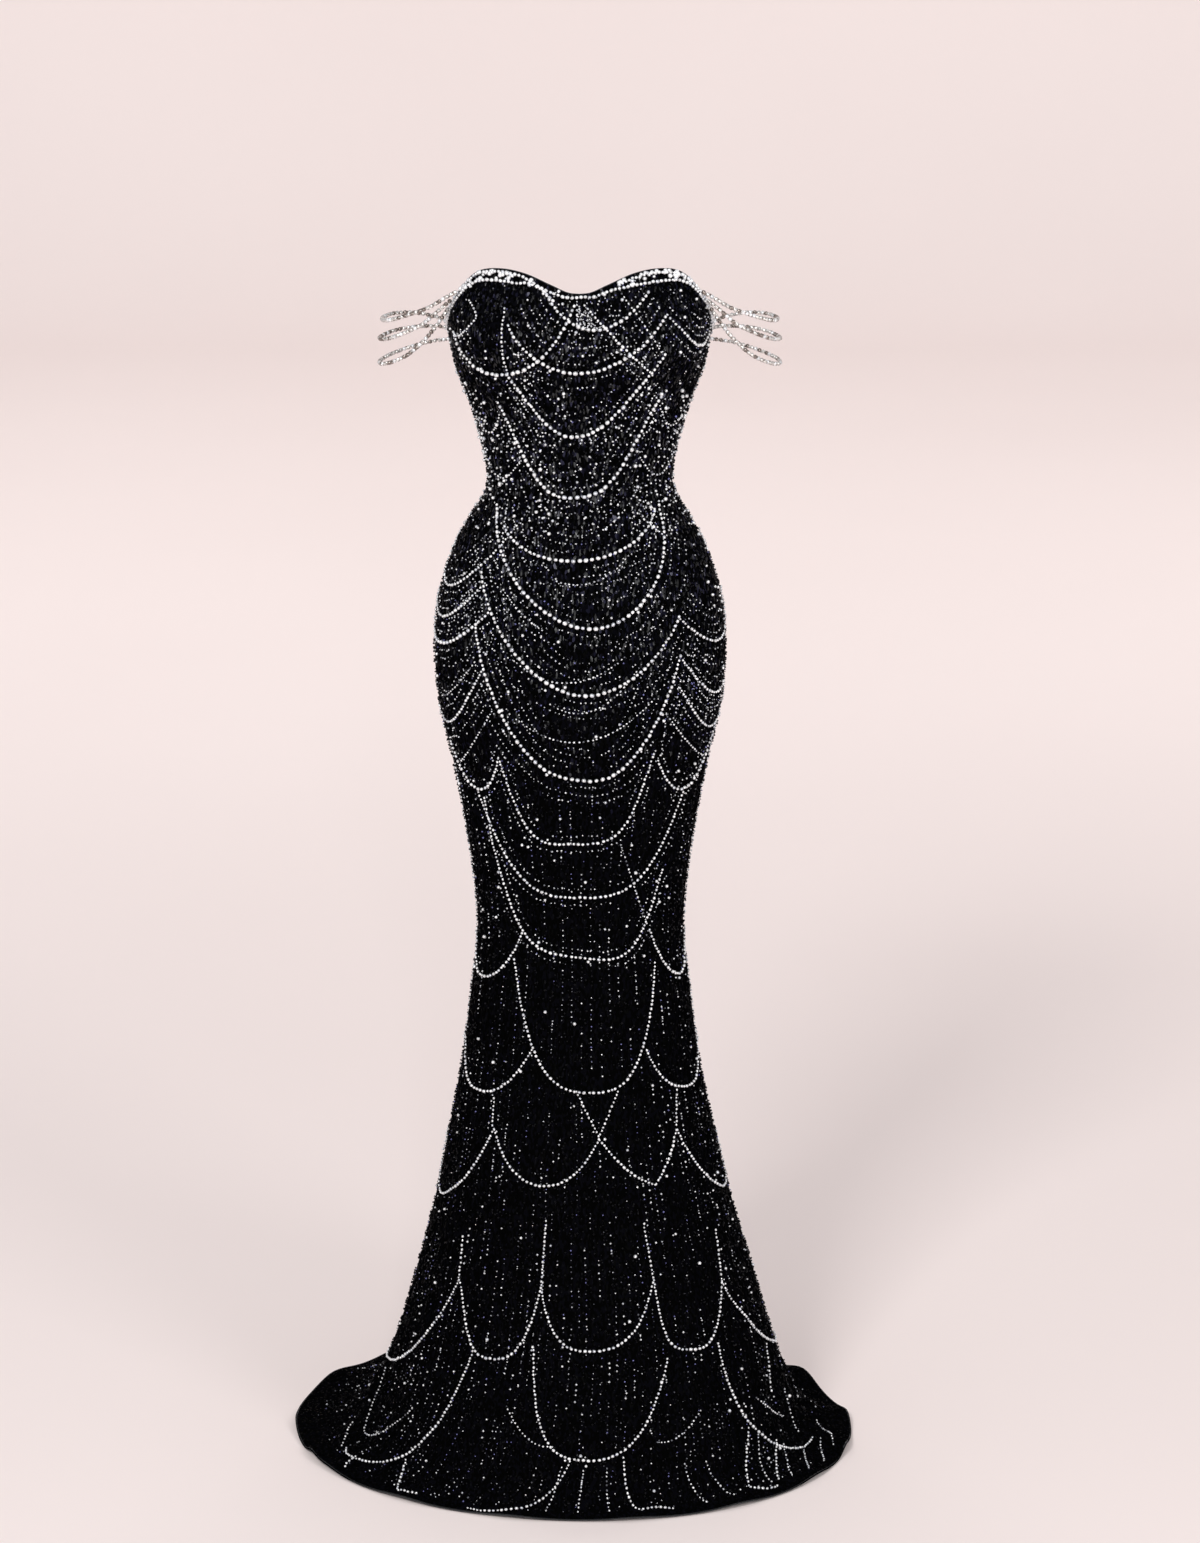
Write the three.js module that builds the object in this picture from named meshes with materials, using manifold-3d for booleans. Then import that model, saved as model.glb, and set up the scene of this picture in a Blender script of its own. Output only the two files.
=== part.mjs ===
// Strapless mermaid evening gown with bead swags, arm strands and a short train.
// Millimetres, +Z up, the wearer's front to -Y. The origin is on the body's axis at the waist.
// An angle runs round the body from 0 at centre front, with 90 at the wearer's left side (+X).
// A level is a height over the floor, measured along the cloth's own rows near the hem.
import * as THREE from "three";
import { mergeVertices } from "three/addons/utils/BufferGeometryUtils.js";
import Module from "manifold-3d";

const wasm = await Module();
wasm.setup();

// Driving sizes
const waistHeight = 1200;   // origin over the floor
const seamLevel = 1192;     // waist seam
const flareSeam = 640;      // seam at the knee, where the flare begins
const wallThickness = 2.0;  // mesh with its beads and backing
const seamGap = 0.3;
const zipEnd = 1010;
const stringGap = 2.0;      // a bead string over its panel
const stitchGap = 0.6;      // its two ends, where it is sewn down
const strandDiameter = 5;

// Sections of the worn gown, waist up and down. front, side and back are the real heights of the
// row there. halfWidth, frontDepth and backDepth are its reach from the axis. sideY is how far the
// widest point lies behind the axis, shift its move to +X, skew how far its +X side is drawn to the
// front, lean how far its back is drawn to +X, and bow the fullness at the diagonals.
const sections = table(
  "level front side back halfWidth frontDepth backDepth sideY shift skew lean bowFront bowBack",
  [
    [1490, 1490, 1490, 1490, 143, 96, 90, 0, 0, 0, 0, 0.03, 0.03],
    [1440, 1440, 1440, 1440, 149, 108, 94, 0, 0, 0, 0, 0.03, 0.03],
    [1385, 1385, 1385, 1385, 151, 116, 98, 0, 0, 0, 0, 0.03, 0.03],
    [1335, 1335, 1335, 1335, 142, 110, 97, 0, 0, 0, 0, 0.03, 0.03],
    [1290, 1290, 1290, 1290, 126, 100, 92, 0, 0, 0, 0, 0.03, 0.03],
    [1240, 1240, 1240, 1240, 112, 94, 86, 0, 0, 0, 0, 0.03, 0.03],
    [1192, 1192, 1192, 1192, 109, 91, 84, 0, 0, 0, 0, 0.03, 0.03],
    [1150, 1150, 1150, 1150, 132, 96, 98, 0, 0, 0, 0, 0.03, 0.03],
    [1100, 1100, 1100, 1100, 155, 104, 118, 0, 0, 0, 0, 0.03, 0.04],
    [1050, 1050, 1050, 1050, 167, 110, 130, 0, 0, 0, 0, 0.03, 0.05],
    [990, 990, 990, 990, 171, 112, 133, 0, 0, 0, 0, 0.03, 0.05],
    [930, 930, 930, 930, 165, 109, 128, 0, 0, 0, 0, 0.03, 0.04],
    [860, 860, 860, 860, 150, 103, 117, 0, 0, 0, 0, 0.03, 0.03],
    [790, 790, 790, 790, 137, 99, 108, 0, 0, 0, 0, 0.03, 0.02],
    [710, 710, 710, 710, 126, 97, 103, 0, 0, 0, 0, 0.02, 0.02],
    [650, 650, 650, 650, 123, 98, 104, 0, 0, 0, 0, 0.02, 0],
    [580, 580, 580, 580, 131, 102, 112, 0, 0, 0, 0, 0.02, 0],
    [500, 500, 500, 500, 141, 110, 128, 0, 0, 0, 0, 0.02, 0],
    [400, 400, 400, 400, 160, 128, 156, 0, 1, 0, 0, 0.02, 0],
    [300, 300, 300, 300, 182, 152, 190, 0, 3, 0, 0, 0.02, -0.02],
    [200, 200, 200, 200, 209, 180, 232, 2, 5, 2, 0, 0.02, -0.03],
    [130, 128, 125, 118, 230, 206, 270, 3, 5, 6, 4, 0.02, -0.06],
    [70, 64, 58, 40, 253, 230, 308, 5, 2, 12, 9, 0.02, -0.1],
    [35, 26, 22, 13, 277, 247, 338, 7, -3, 19, 14, 0.02, -0.12],
    [15, 9, 7, 6, 308, 257, 360, 8, -7, 25, 17, 0.01, -0.14],
    [0, 2, 2, 2, 344, 264, 385, 9, -10, 28, 18, 0.01, -0.155],
  ],
);

// Upper edge: height at an angle from centre front, alike on both sides.
const topEdge = table("angle level", [
  [0, 1437], [12, 1446], [24, 1458], [36, 1462], [50, 1455], [64, 1428],
  [78, 1402], [90, 1388], [120, 1370], [150, 1358], [180, 1354],
]);

const cup = { angle: 36, level: 1385, halfAngle: 25, halfHeight: 46, reach: 20 };

// Soft folds of the flare and the train: rise along the cloth's outward side, grown in from
// the level "from" to the level "full".
const folds = table("angle width rise from full", [
  [-152, 9, 9, 420, 60], [-128, 8, 7, 300, 30], [-108, 6, 8, 200, 25], [-84, 7, 6, 260, 50],
  [-57, 7, 5, 420, 120], [-33, 6, 4, 460, 150], [-9, 6, 4, 480, 150], [15, 6, 4, 460, 150],
  [38, 6, 4, 440, 130], [61, 6, 5, 400, 120], [82, 5, 6, 240, 45], [97, 4, 8, 160, 20],
  [111, 4, 8, 150, 18], [126, 5, 8, 220, 25], [145, 8, 9, 400, 50], [170, 8, 6, 420, 60],
]);

const bodiceRows = 10;
const panelStep = 6;        // degrees a column
const skirtLevels = [
  seamLevel - seamGap, 1160, 1120, 1070, 1010, 940, 860, 780, 700, flareSeam + seamGap / 2,
  flareSeam - seamGap / 2, 580, 520, 450, 360, 280, 210, 155, 110, 75, 50, 30, 16, 6, 0,
];

// Bead swags. A swag hangs from one end to the other, "drop" below the line between them, and
// "full" is the power of its curve: 2 is a parabola, more has a flatter bottom.
const swagColumns = "angleA levelA angleB levelB drop full";
const frontSwags = {
  bodice: table(swagColumns, [
    [-2, 1416, -62, 1387, 52, 2], [2, 1416, 32, 1348, 4, 2], [-14, 1423, 31, 1445, 41, 2],
    [-29, 1403, 36, 1412, 59, 2], [36, 1412, 76, 1392, 28, 2], [-31, 1346, 34, 1373, 88, 2],
    [-42, 1310, 41, 1322, 114, 2],
  ]),
  hip: table(swagColumns, [
    [-42, 1163, 47, 1178, 44, 2], [-53, 1180, 52, 1180, 132, 2.6], [-46, 1109, 42, 1055, 111, 2.3],
    [-44, 1045, 41, 1013, 162, 2.6], [-39, 1142, -80, 1090, 26, 2], [-44, 1091, -82, 1054, 22, 2],
    [-38, 1064, -82, 1024, 24, 2], [-39, 998, -80, 930, 36, 2], [42, 1055, 80, 1028, 20, 2],
    [42, 1007, 80, 966, 26, 2], [41, 974, 80, 926, 30, 2],
  ]),
  thigh: table(swagColumns, [
    [-36, 890, 32, 896, 106, 2.5], [-52, 842, 53, 842, 121, 2.6], [-47, 800, 44, 740, 124, 2.8],
    [-36, 890, -74, 896, 49, 2], [34, 887, 75, 914, 54, 2],
  ]),
  knee: table(swagColumns, [
    [-84, 652, -32, 676, 55, 2], [40, 676, 84, 646, 52, 2], [-38, 640, 44, 636, 155, 3],
    [-82, 520, -24, 533, 54, 2], [34, 530, 84, 510, 46, 2], [-86, 352, -41, 431, 46, 2],
    [-41, 431, 8, 428, 58, 2], [8, 428, 31, 368, 10, 2], [31, 368, 46, 428, 4, 2],
    [46, 428, 86, 345, 36, 2],
  ]),
  flare: table(swagColumns, [
    [-84, 150, -46, 245, 44, 2], [-46, 245, -14, 254, 86, 2], [-14, 254, 26, 260, 76, 2],
    [26, 260, 57, 233, 80, 2], [57, 233, 84, 150, 24, 2], [-35, 172, -64, 36, 30, 2],
    [-15, 185, 1, 70, 34, 2], [29, 170, 1, 70, 26, 2], [48, 170, 71, 40, 34, 2],
  ]),
};

// The back, given for the wearer's left half and mirrored. It keeps clear of the zip.
const backSwags = {
  bodice_back: table(swagColumns, [
    [96, 1352, 170, 1316, 52, 2], [104, 1338, 164, 1262, 40, 2], [96, 1270, 170, 1262, 46, 2],
  ]),
  hip_back: table(swagColumns, [
    [96, 1140, 172, 1120, 60, 2], [104, 1130, 172, 1040, 60, 2], [96, 1070, 172, 1040, 74, 2],
  ]),
  thigh_back: table(swagColumns, [
    [96, 925, 176, 925, 92, 2.2], [110, 930, 176, 820, 70, 2.2], [96, 830, 176, 820, 96, 2.2],
  ]),
  knee_back: table(swagColumns, [
    [96, 640, 134, 646, 60, 2], [133, 640, 176, 640, 60, 2], [96, 520, 134, 526, 52, 2],
    [133, 520, 176, 520, 52, 2],
  ]),
  flare_back: table(swagColumns, [
    [96, 390, 136, 396, 66, 2], [135, 390, 176, 390, 66, 2], [96, 225, 136, 231, 84, 2],
    [135, 225, 176, 225, 84, 2],
  ]),
};

// Off-shoulder strands on the wearer's left, mirrored for the right. Each is sewn to the front and
// back of the bodice at an angle and a level, "out" from the cloth, and goes by way of x, y and
// height over the floor, in an open loop at the bodice's side.
const strands = {
  upper: {
    front: { angle: 58, level: 1432, out: 7.6 }, back: { angle: 118, level: 1363, out: 7.7 },
    way: [
      [150, -65, 1427], [172, -58, 1413], [196, -44, 1402], [216, -24, 1393], [227, 2, 1388],
      [227, 28, 1387], [214, 52, 1387], [190, 64, 1385], [160, 64, 1377],
    ],
  },
  middle: {
    front: { angle: 63, level: 1421, out: 7 }, back: { angle: 124, level: 1360, out: 7.5 },
    way: [
      [160, -58, 1410], [180, -50, 1392], [201, -38, 1380], [220, -18, 1370], [231, 8, 1365],
      [229, 34, 1364], [214, 58, 1366], [188, 70, 1368], [158, 71, 1367],
    ],
  },
  lower: {
    front: { angle: 67, level: 1411, out: 5.6 }, back: { angle: 130, level: 1356, out: 7 },
    way: [
      [162, -53, 1393], [178, -47, 1373], [198, -36, 1354], [218, -18, 1342], [231, 8, 1336],
      [230, 36, 1336], [213, 62, 1340], [184, 76, 1347], [152, 78, 1352],
    ],
  },
};

// Zip head at centre back: a slider with a bar that the pull tab hangs on.
const zip = {
  level: 1336, plateWidth: 7.6, plateHeight: 11, plateThickness: 2, plateGap: 0.6,
  lugWidth: 1.1, lugHeight: 3.4, lugCover: 0.6, barRadius: 0.75, barReach: 5.4,
  knuckleHalf: 2.2, knuckleRadius: 1.9, holeRadius: 1.15, tabLength: 24, tabThickness: 1.2,
  tabNeck: 3.4, tabNeckY: -1, tapeThickness: 0.8, tabWidth: 6.4, sides: 20,
};

function table(columns, rows) {
  const names = columns.split(" ");
  return rows.map((row) => Object.fromEntries(names.map((name, i) => [name, row[i]])));
}

// Smooth curve through a table's rows, key column rising or falling.
function lookup(rows, key, column, at) {
  const first = rows[0][key];
  const ordered = first > rows[rows.length - 1][key] ? [...rows].reverse() : rows;
  const x = ordered.map((row) => row[key]);
  const y = ordered.map((row) => row[column]);
  const last = x.length - 1;
  const value = Math.min(Math.max(at, x[0]), x[last]);
  let i = 0;
  while (i < last - 1 && value > x[i + 1]) i += 1;
  const slope = (k) => (y[k + 1] - y[k]) / (x[k + 1] - x[k]);
  const tangent = (k) => {
    if (k === 0) return slope(0);
    if (k === last) return slope(last - 1);
    const before = x[k] - x[k - 1];
    const after = x[k + 1] - x[k];
    return (slope(k - 1) * after + slope(k) * before) / (before + after);
  };
  const span = x[i + 1] - x[i];
  const t = (value - x[i]) / span;
  const start = (2 * t ** 3 - 3 * t ** 2 + 1) * y[i] + (t ** 3 - 2 * t ** 2 + t) * span * tangent(i);
  const end = (3 * t ** 2 - 2 * t ** 3) * y[i + 1] + (t ** 3 - t ** 2) * span * tangent(i + 1);
  return start + end;
}

const knownSections = new Map();
function section(level) {
  const key = level.toFixed(3);
  if (!knownSections.has(key)) {
    const names = Object.keys(sections[0]);
    knownSections.set(key, Object.fromEntries(names.map((name) => [name, lookup(sections, "level", name, level)])));
  }
  return knownSections.get(key);
}

function wrapped(angle) {
  return ((angle + 540) % 360) - 180;
}

function topLevel(angle) {
  return lookup(topEdge, "angle", "level", Math.abs(wrapped(angle)));
}

// The smooth body of the gown, with no cups or folds.
function ring(angle, level) {
  const row = section(level);
  const t = THREE.MathUtils.degToRad(angle);
  const sine = Math.sin(t);
  const cosine = Math.cos(t);
  const isFront = cosine > 0;
  const bow = 1 + (isFront ? row.bowFront : row.bowBack) * Math.sin(2 * t) ** 2;
  const reach = isFront ? row.frontDepth + row.sideY : row.backDepth - row.sideY;
  const height = row.side + ((isFront ? row.front : row.back) - row.side) * cosine ** 2;
  const x = row.shift + row.halfWidth * sine * bow - row.lean * cosine;
  const y = row.sideY - reach * cosine * bow - row.skew * sine;
  return new THREE.Vector3(x, y, height - waistHeight);
}

// The outward direction of a surface "place" at an angle and level.
function facing(place, angle, level) {
  const round = place(angle + 0.5, level).sub(place(angle - 0.5, level));
  const up = place(angle, Math.min(level + 1.5, 1489)).sub(place(angle, Math.max(level - 1.5, 0)));
  return round.cross(up).normalize();
}

function smooth(t) {
  const s = Math.min(Math.max(t, 0), 1);
  return s * s * (3 - 2 * s);
}

function bell(distance, width) {
  return Math.exp(-((distance / width) ** 2));
}

function relief(angle, level) {
  const high = bell(level - cup.level, cup.halfHeight);
  const cups = bell(Math.abs(wrapped(angle)) - cup.angle, cup.halfAngle) * cup.reach * high;
  return folds.reduce((sum, fold) => {
    const grown = smooth((fold.from - level) / (fold.from - fold.full));
    return sum + fold.rise * grown * bell(wrapped(angle - fold.angle), fold.width);
  }, cups);
}

// A point of the cloth's outer side, moved out by "offset".
function cloth(angle, level, offset = 0) {
  const point = ring(angle, level);
  return point.addScaledVector(facing(ring, angle, level), relief(angle, level) + offset);
}

function outward(angle, level) {
  return facing(cloth, angle, level);
}

// The seam's angle, drawn back so that two pieces end seamGap apart.
function drawnBack(angle, level, side) {
  const perDegree = cloth(angle + 0.5, level).distanceTo(cloth(angle - 0.5, level));
  return angle + (side * seamGap) / 2 / perDegree;
}

// Wall
// A closed wall over a grid of (column, row), thickness measured inward.
function wall(columns, rows, place, thickness) {
  const across = columns + 1;
  const layer = across * (rows + 1);
  const positions = [];
  for (const depth of [0, thickness]) {
    for (let j = 0; j <= rows; j += 1) {
      for (let i = 0; i <= columns; i += 1) positions.push(...place(i, j, -depth).toArray());
    }
  }
  const faces = [];
  const quad = (a, b, c, d) => faces.push(a, b, c, a, c, d);
  for (let j = 0; j < rows; j += 1) {
    for (let i = 0; i < columns; i += 1) {
      const a = j * across + i;
      quad(a, a + across, a + across + 1, a + 1);
      quad(layer + a, layer + a + 1, layer + a + across + 1, layer + a + across);
    }
    const left = j * across;
    const right = left + columns;
    quad(left, layer + left, layer + left + across, left + across);
    quad(right, right + across, layer + right + across, layer + right);
  }
  for (let i = 0; i < columns; i += 1) {
    const bottom = rows * across + i;
    quad(i, i + 1, layer + i + 1, layer + i);
    quad(bottom, layer + bottom, layer + bottom + 1, bottom + 1);
  }
  const geometry = new THREE.BufferGeometry();
  geometry.setAttribute("position", new THREE.Float32BufferAttribute(positions, 3));
  geometry.setIndex(faces);
  return geometry;
}

// Angles of a panel's columns in one row, its two ends drawn back from the seams.
function panelAngle(i, columns, from, to, level) {
  if (i === 0) return drawnBack(from, level, 1);
  if (i === columns) return drawnBack(to, level, -1);
  return from + ((to - from) * i) / columns;
}

function bodiceLevel(angle, row) {
  return topLevel(angle) + ((seamLevel - topLevel(angle)) * row) / bodiceRows;
}

function bodicePanel(from, to) {
  const columns = (to - from) / panelStep;
  return wall(columns, bodiceRows, (i, j, offset) => {
    const level = bodiceLevel(from + panelStep * i, j);
    return cloth(panelAngle(i, columns, from, to, level), level, offset);
  }, wallThickness);
}

function skirtPanel(from, to, levels) {
  const columns = (to - from) / panelStep;
  return wall(columns, levels.length - 1, (i, j, offset) => {
    return cloth(panelAngle(i, columns, from, to, levels[j]), levels[j], offset);
  }, wallThickness);
}

// The tape lies inside the back panels, on their own rows and the columns beside centre back.
function zipTape() {
  const inset = -wallThickness - 0.5;
  const skirtRows = skirtLevels.filter((level) => level >= zipEnd);
  return wall(2, bodiceRows + skirtRows.length, (i, j, offset) => {
    const angle = 180 + (i - 1) * panelStep;
    const level = j > bodiceRows ? skirtRows[j - bodiceRows - 1] : bodiceLevel(angle, Math.max(j, 0.3));
    return cloth(angle, j === bodiceRows ? seamLevel + 0.3 : level, inset + offset);
  }, zip.tapeThickness);
}

// The point of a panel's own facets at an angle and level, for what lies on the panel.
function onPanel(angle, level) {
  const isBodice = level > seamLevel;
  const column = Math.floor(angle / panelStep);
  const u = angle / panelStep - column;
  let row = 0;
  let v = 0;
  if (isBodice) {
    const top = topLevel(column * panelStep) * (1 - u) + topLevel((column + 1) * panelStep) * u;
    const depth = ((top - level) / (top - seamLevel)) * bodiceRows;
    row = Math.min(Math.max(Math.floor(depth), 0), bodiceRows - 1);
    v = depth - row;
  } else {
    row = Math.max(skirtLevels.findIndex((edge) => edge <= level), 1) - 1;
    v = (skirtLevels[row] - level) / (skirtLevels[row] - skirtLevels[row + 1]);
  }
  const corner = (i, j) => {
    const at = (column + i) * panelStep;
    return cloth(at, isBodice ? bodiceLevel(at, row + j) : skirtLevels[row + j]);
  };
  const near = v >= u ? corner(0, 1) : corner(1, 0);
  const [first, second] = v >= u ? [v, u] : [u, v];
  const start = corner(0, 0);
  const end = corner(1, 1);
  return start.clone().addScaledVector(near.clone().sub(start), first).addScaledVector(end.sub(near), second);
}

// Strings
// A closed tube through points, with its flat side kept to the cloth by the "lift" directions.
function tube(points, lifts, radius, sides) {
  const count = points.length;
  const positions = [];
  points.forEach((point, k) => {
    const along = points[Math.min(k + 1, count - 1)].clone().sub(points[Math.max(k - 1, 0)]).normalize();
    const lift = lifts[k].clone().addScaledVector(along, -lifts[k].dot(along)).normalize();
    const beside = along.clone().cross(lift);
    for (let s = 0; s < sides; s += 1) {
      const turn = (2 * Math.PI * s) / sides;
      const spoke = lift.clone().multiplyScalar(Math.cos(turn)).addScaledVector(beside, Math.sin(turn));
      positions.push(...point.clone().addScaledVector(spoke, radius).toArray());
    }
  });
  const faces = [];
  for (let k = 0; k < count - 1; k += 1) {
    for (let s = 0; s < sides; s += 1) {
      const next = (s + 1) % sides;
      const a = k * sides + s;
      const b = k * sides + next;
      faces.push(a, b, b + sides, a, b + sides, a + sides);
    }
  }
  const end = (count - 1) * sides;
  for (let s = 1; s < sides - 1; s += 1) {
    faces.push(0, s + 1, s);
    faces.push(end, end + s, end + s + 1);
  }
  const geometry = new THREE.BufferGeometry();
  geometry.setAttribute("position", new THREE.Float32BufferAttribute(positions, 3));
  geometry.setIndex(faces);
  return geometry;
}

// Angle and level along a swag at even steps of its real length.
function swagPath(swag, mirrored) {
  const sign = mirrored ? -1 : 1;
  const at = (t) => {
    const line = swag.levelA + (swag.levelB - swag.levelA) * t;
    const level = line - swag.drop * (1 - Math.abs(2 * t - 1) ** swag.full);
    return [sign * (swag.angleA + (swag.angleB - swag.angleA) * t), level];
  };
  const fine = 80;
  const run = [0];
  for (let k = 1; k <= fine; k += 1) {
    run.push(run[k - 1] + cloth(...at(k / fine)).distanceTo(cloth(...at((k - 1) / fine))));
  }
  const stretch = swag.levelA > seamLevel ? swagStep.bodice : swagStep.skirt;
  const steps = Math.max(3, Math.ceil(run[fine] / stretch));
  return Array.from({ length: steps + 1 }, (_, step) => {
    const reach = (run[fine] * step) / steps;
    const k = Math.min(Math.max(run.findIndex((done) => done >= reach), 1), fine);
    return at((k - 1 + (reach - run[k - 1]) / (run[k] - run[k - 1])) / fine);
  });
}

function gapAlong(k, count) {
  return k === 0 || k === count - 1 ? stitchGap : stringGap;
}

function swagTube(swag, mirrored, radius) {
  const path = swagPath(swag, mirrored);
  const lifts = path.map(([angle, level]) => outward(angle, level));
  return tube(path.map(([angle, level], k) => {
    return onPanel(angle, level).addScaledVector(lifts[k], gapAlong(k, path.length) + radius / 2);
  }), lifts, radius, 3);
}

function neckString(from, to) {
  const points = [];
  const lifts = [];
  const steps = Math.round(Math.abs(to - from) / panelStep);
  for (let k = 0; k <= steps; k += 1) {
    const angle = from + ((to - from) * k) / steps;
    const level = topLevel(angle) - 7;
    lifts.push(outward(angle, level));
    points.push(onPanel(angle, level).addScaledVector(lifts[k], gapAlong(k, steps + 1) + 1.5));
  }
  return tube(points, lifts, 3, 3);
}

function toManifold(geometry) {
  geometry.deleteAttribute("normal");
  geometry.deleteAttribute("uv");
  const closed = mergeVertices(geometry, 1e-4);
  const mesh = new wasm.Mesh({
    numProp: 3,
    vertProperties: new Float32Array(closed.attributes.position.array),
    triVerts: new Uint32Array(closed.index.array),
  });
  return new wasm.Manifold(mesh);
}

function fromManifold(solid) {
  const mesh = solid.getMesh();
  const geometry = new THREE.BufferGeometry();
  geometry.setAttribute("position", new THREE.Float32BufferAttribute(mesh.vertProperties, 3));
  geometry.setIndex(Array.from(mesh.triVerts));
  return mergeVertices(geometry, 1e-3);
}

const swagRadius = 2.8;
const swagStep = { bodice: 16, skirt: 25 };

// The swags of a zone, joined where they cross: one geometry for each that stands apart.
function swagNetworks(rows, mirrored) {
  const tubes = rows.map((swag) => toManifold(swagTube(swag, mirrored, swagRadius)));
  return wasm.Manifold.union(tubes).decompose().map(fromManifold);
}

// Five-sided tube through the strand's seats and way, mirrored to the wearer's right where side is -1.
function armStrand(strand, side) {
  const seat = ({ angle, level, out }) => cloth(side * angle, level, out);
  const way = strand.way.map(([x, y, height]) => new THREE.Vector3(side * x, y, height - waistHeight));
  const corners = [seat(strand.front), ...way, seat(strand.back)];
  const steps = 20;
  const points = new THREE.CatmullRomCurve3(corners, false, "centripetal").getSpacedPoints(steps);
  const lifts = points.map(() => new THREE.Vector3(0, 0, 1));
  return tube(points, lifts, strandDiameter / 2, 5);
}

// Zip head, made round its bar with +Y away from the cloth, then put on the back.
function block(width, depth, height, x, y) {
  return toManifold(new THREE.BoxGeometry(width, depth, height).translate(x, y, 0));
}

function crossBar(radius, width) {
  return toManifold(new THREE.CylinderGeometry(radius, radius, width, zip.sides).rotateZ(Math.PI / 2));
}

function ontoBack(solid) {
  const lean = outward(180, zip.level);
  const place = cloth(180, zip.level, zip.barReach);
  return fromManifold(solid).rotateX(Math.atan2(lean.z, lean.y)).translate(...place.toArray());
}

function zipSlider() {
  const plateMiddle = zip.plateGap + zip.plateThickness / 2 - zip.barReach;
  const lugTop = zip.barRadius + zip.lugCover;
  const lugX = (zip.plateWidth - zip.lugWidth) / 2;
  const lug = (x) => block(zip.lugWidth, lugTop - plateMiddle, zip.lugHeight, x, (lugTop + plateMiddle) / 2);
  return ontoBack(wasm.Manifold.union([
    block(zip.plateWidth, zip.plateThickness, zip.plateHeight, 0, plateMiddle),
    lug(lugX), lug(-lugX), crossBar(zip.barRadius, 2 * lugX),
  ]));
}

// Two round ends joined by their common tangents.
function tabOutline() {
  const neck = zip.tabNeck / 2;
  const tip = zip.tabWidth / 2;
  const tipY = tip - zip.tabLength;
  const lean = Math.asin((tip - neck) / (zip.tabNeckY - tipY));
  const outline = new THREE.Shape();
  outline.absarc(0, zip.tabNeckY, neck, lean, Math.PI - lean, false);
  outline.absarc(0, tipY, tip, Math.PI - lean, 2 * Math.PI + lean, false);
  return outline;
}

function pullTab() {
  const plate = new THREE.ExtrudeGeometry(tabOutline(), {
    depth: zip.tabThickness, bevelEnabled: false, curveSegments: zip.sides / 2,
  });
  plate.rotateX(Math.PI / 2).translate(0, zip.tabThickness / 2, 0);
  const knuckle = crossBar(zip.knuckleRadius, 2 * zip.knuckleHalf);
  const hole = crossBar(zip.holeRadius, 3 * zip.knuckleHalf);
  return ontoBack(wasm.Manifold.union([knuckle, toManifold(plate)]).subtract(hole));
}

// Assembly
const finishes = {
  beaded_mesh: new THREE.MeshStandardMaterial({ color: 0x1b1b20, roughness: 0.7 }),
  glass_beads: new THREE.MeshStandardMaterial({ color: 0xd8dade, roughness: 0.25, metalness: 0.3 }),
  zip_tape: new THREE.MeshStandardMaterial({ color: 0x141416, roughness: 0.9 }),
  zip_metal: new THREE.MeshStandardMaterial({ color: 0x55565c, roughness: 0.35, metalness: 1 }),
};

const gown = new THREE.Group();
gown.name = "evening_gown";

function add(name, geometry, finish) {
  const mesh = new THREE.Mesh(geometry, finishes[finish]);
  mesh.name = name;
  gown.add(mesh);
}

for (const [name, from, to] of [["front", -90, 90], ["back_left", 90, 180], ["back_right", 180, 270]]) {
  add(`bodice_${name}`, bodicePanel(from, to), "beaded_mesh");
  add(`skirt_${name}`, skirtPanel(from, to, skirtLevels.filter((level) => level > flareSeam)), "beaded_mesh");
  add(`flare_${name}`, skirtPanel(from, to, skirtLevels.filter((level) => level < flareSeam)), "beaded_mesh");
}

function addSwags(name, rows, mirrored) {
  const networks = swagNetworks(rows, mirrored);
  networks.forEach((network, k) => add(`swags_${name}_${k + 1}`, network, "glass_beads"));
}

for (const [zone, rows] of Object.entries(frontSwags)) addSwags(`${zone}_front`, rows, false);
for (const [zone, rows] of Object.entries(backSwags)) {
  addSwags(`${zone}_left`, rows, false);
  addSwags(`${zone}_right`, rows, true);
}
add("neck_string_front", neckString(-88, 88), "glass_beads");
add("neck_string_back_left", neckString(92, 172), "glass_beads");
add("neck_string_back_right", neckString(-92, -172), "glass_beads");

for (const [place, strand] of Object.entries(strands)) {
  add(`strand_${place}_left`, armStrand(strand, 1), "glass_beads");
  add(`strand_${place}_right`, armStrand(strand, -1), "glass_beads");
}

add("zip_tape", zipTape(), "zip_tape");
add("zip_slider", zipSlider(), "zip_metal");
add("pull_tab", pullTab(), "zip_metal");

export default gown;
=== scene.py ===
"""Looks of the strapless mermaid evening gown with bead swags, off-shoulder strands and a train."""
import math

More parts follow.
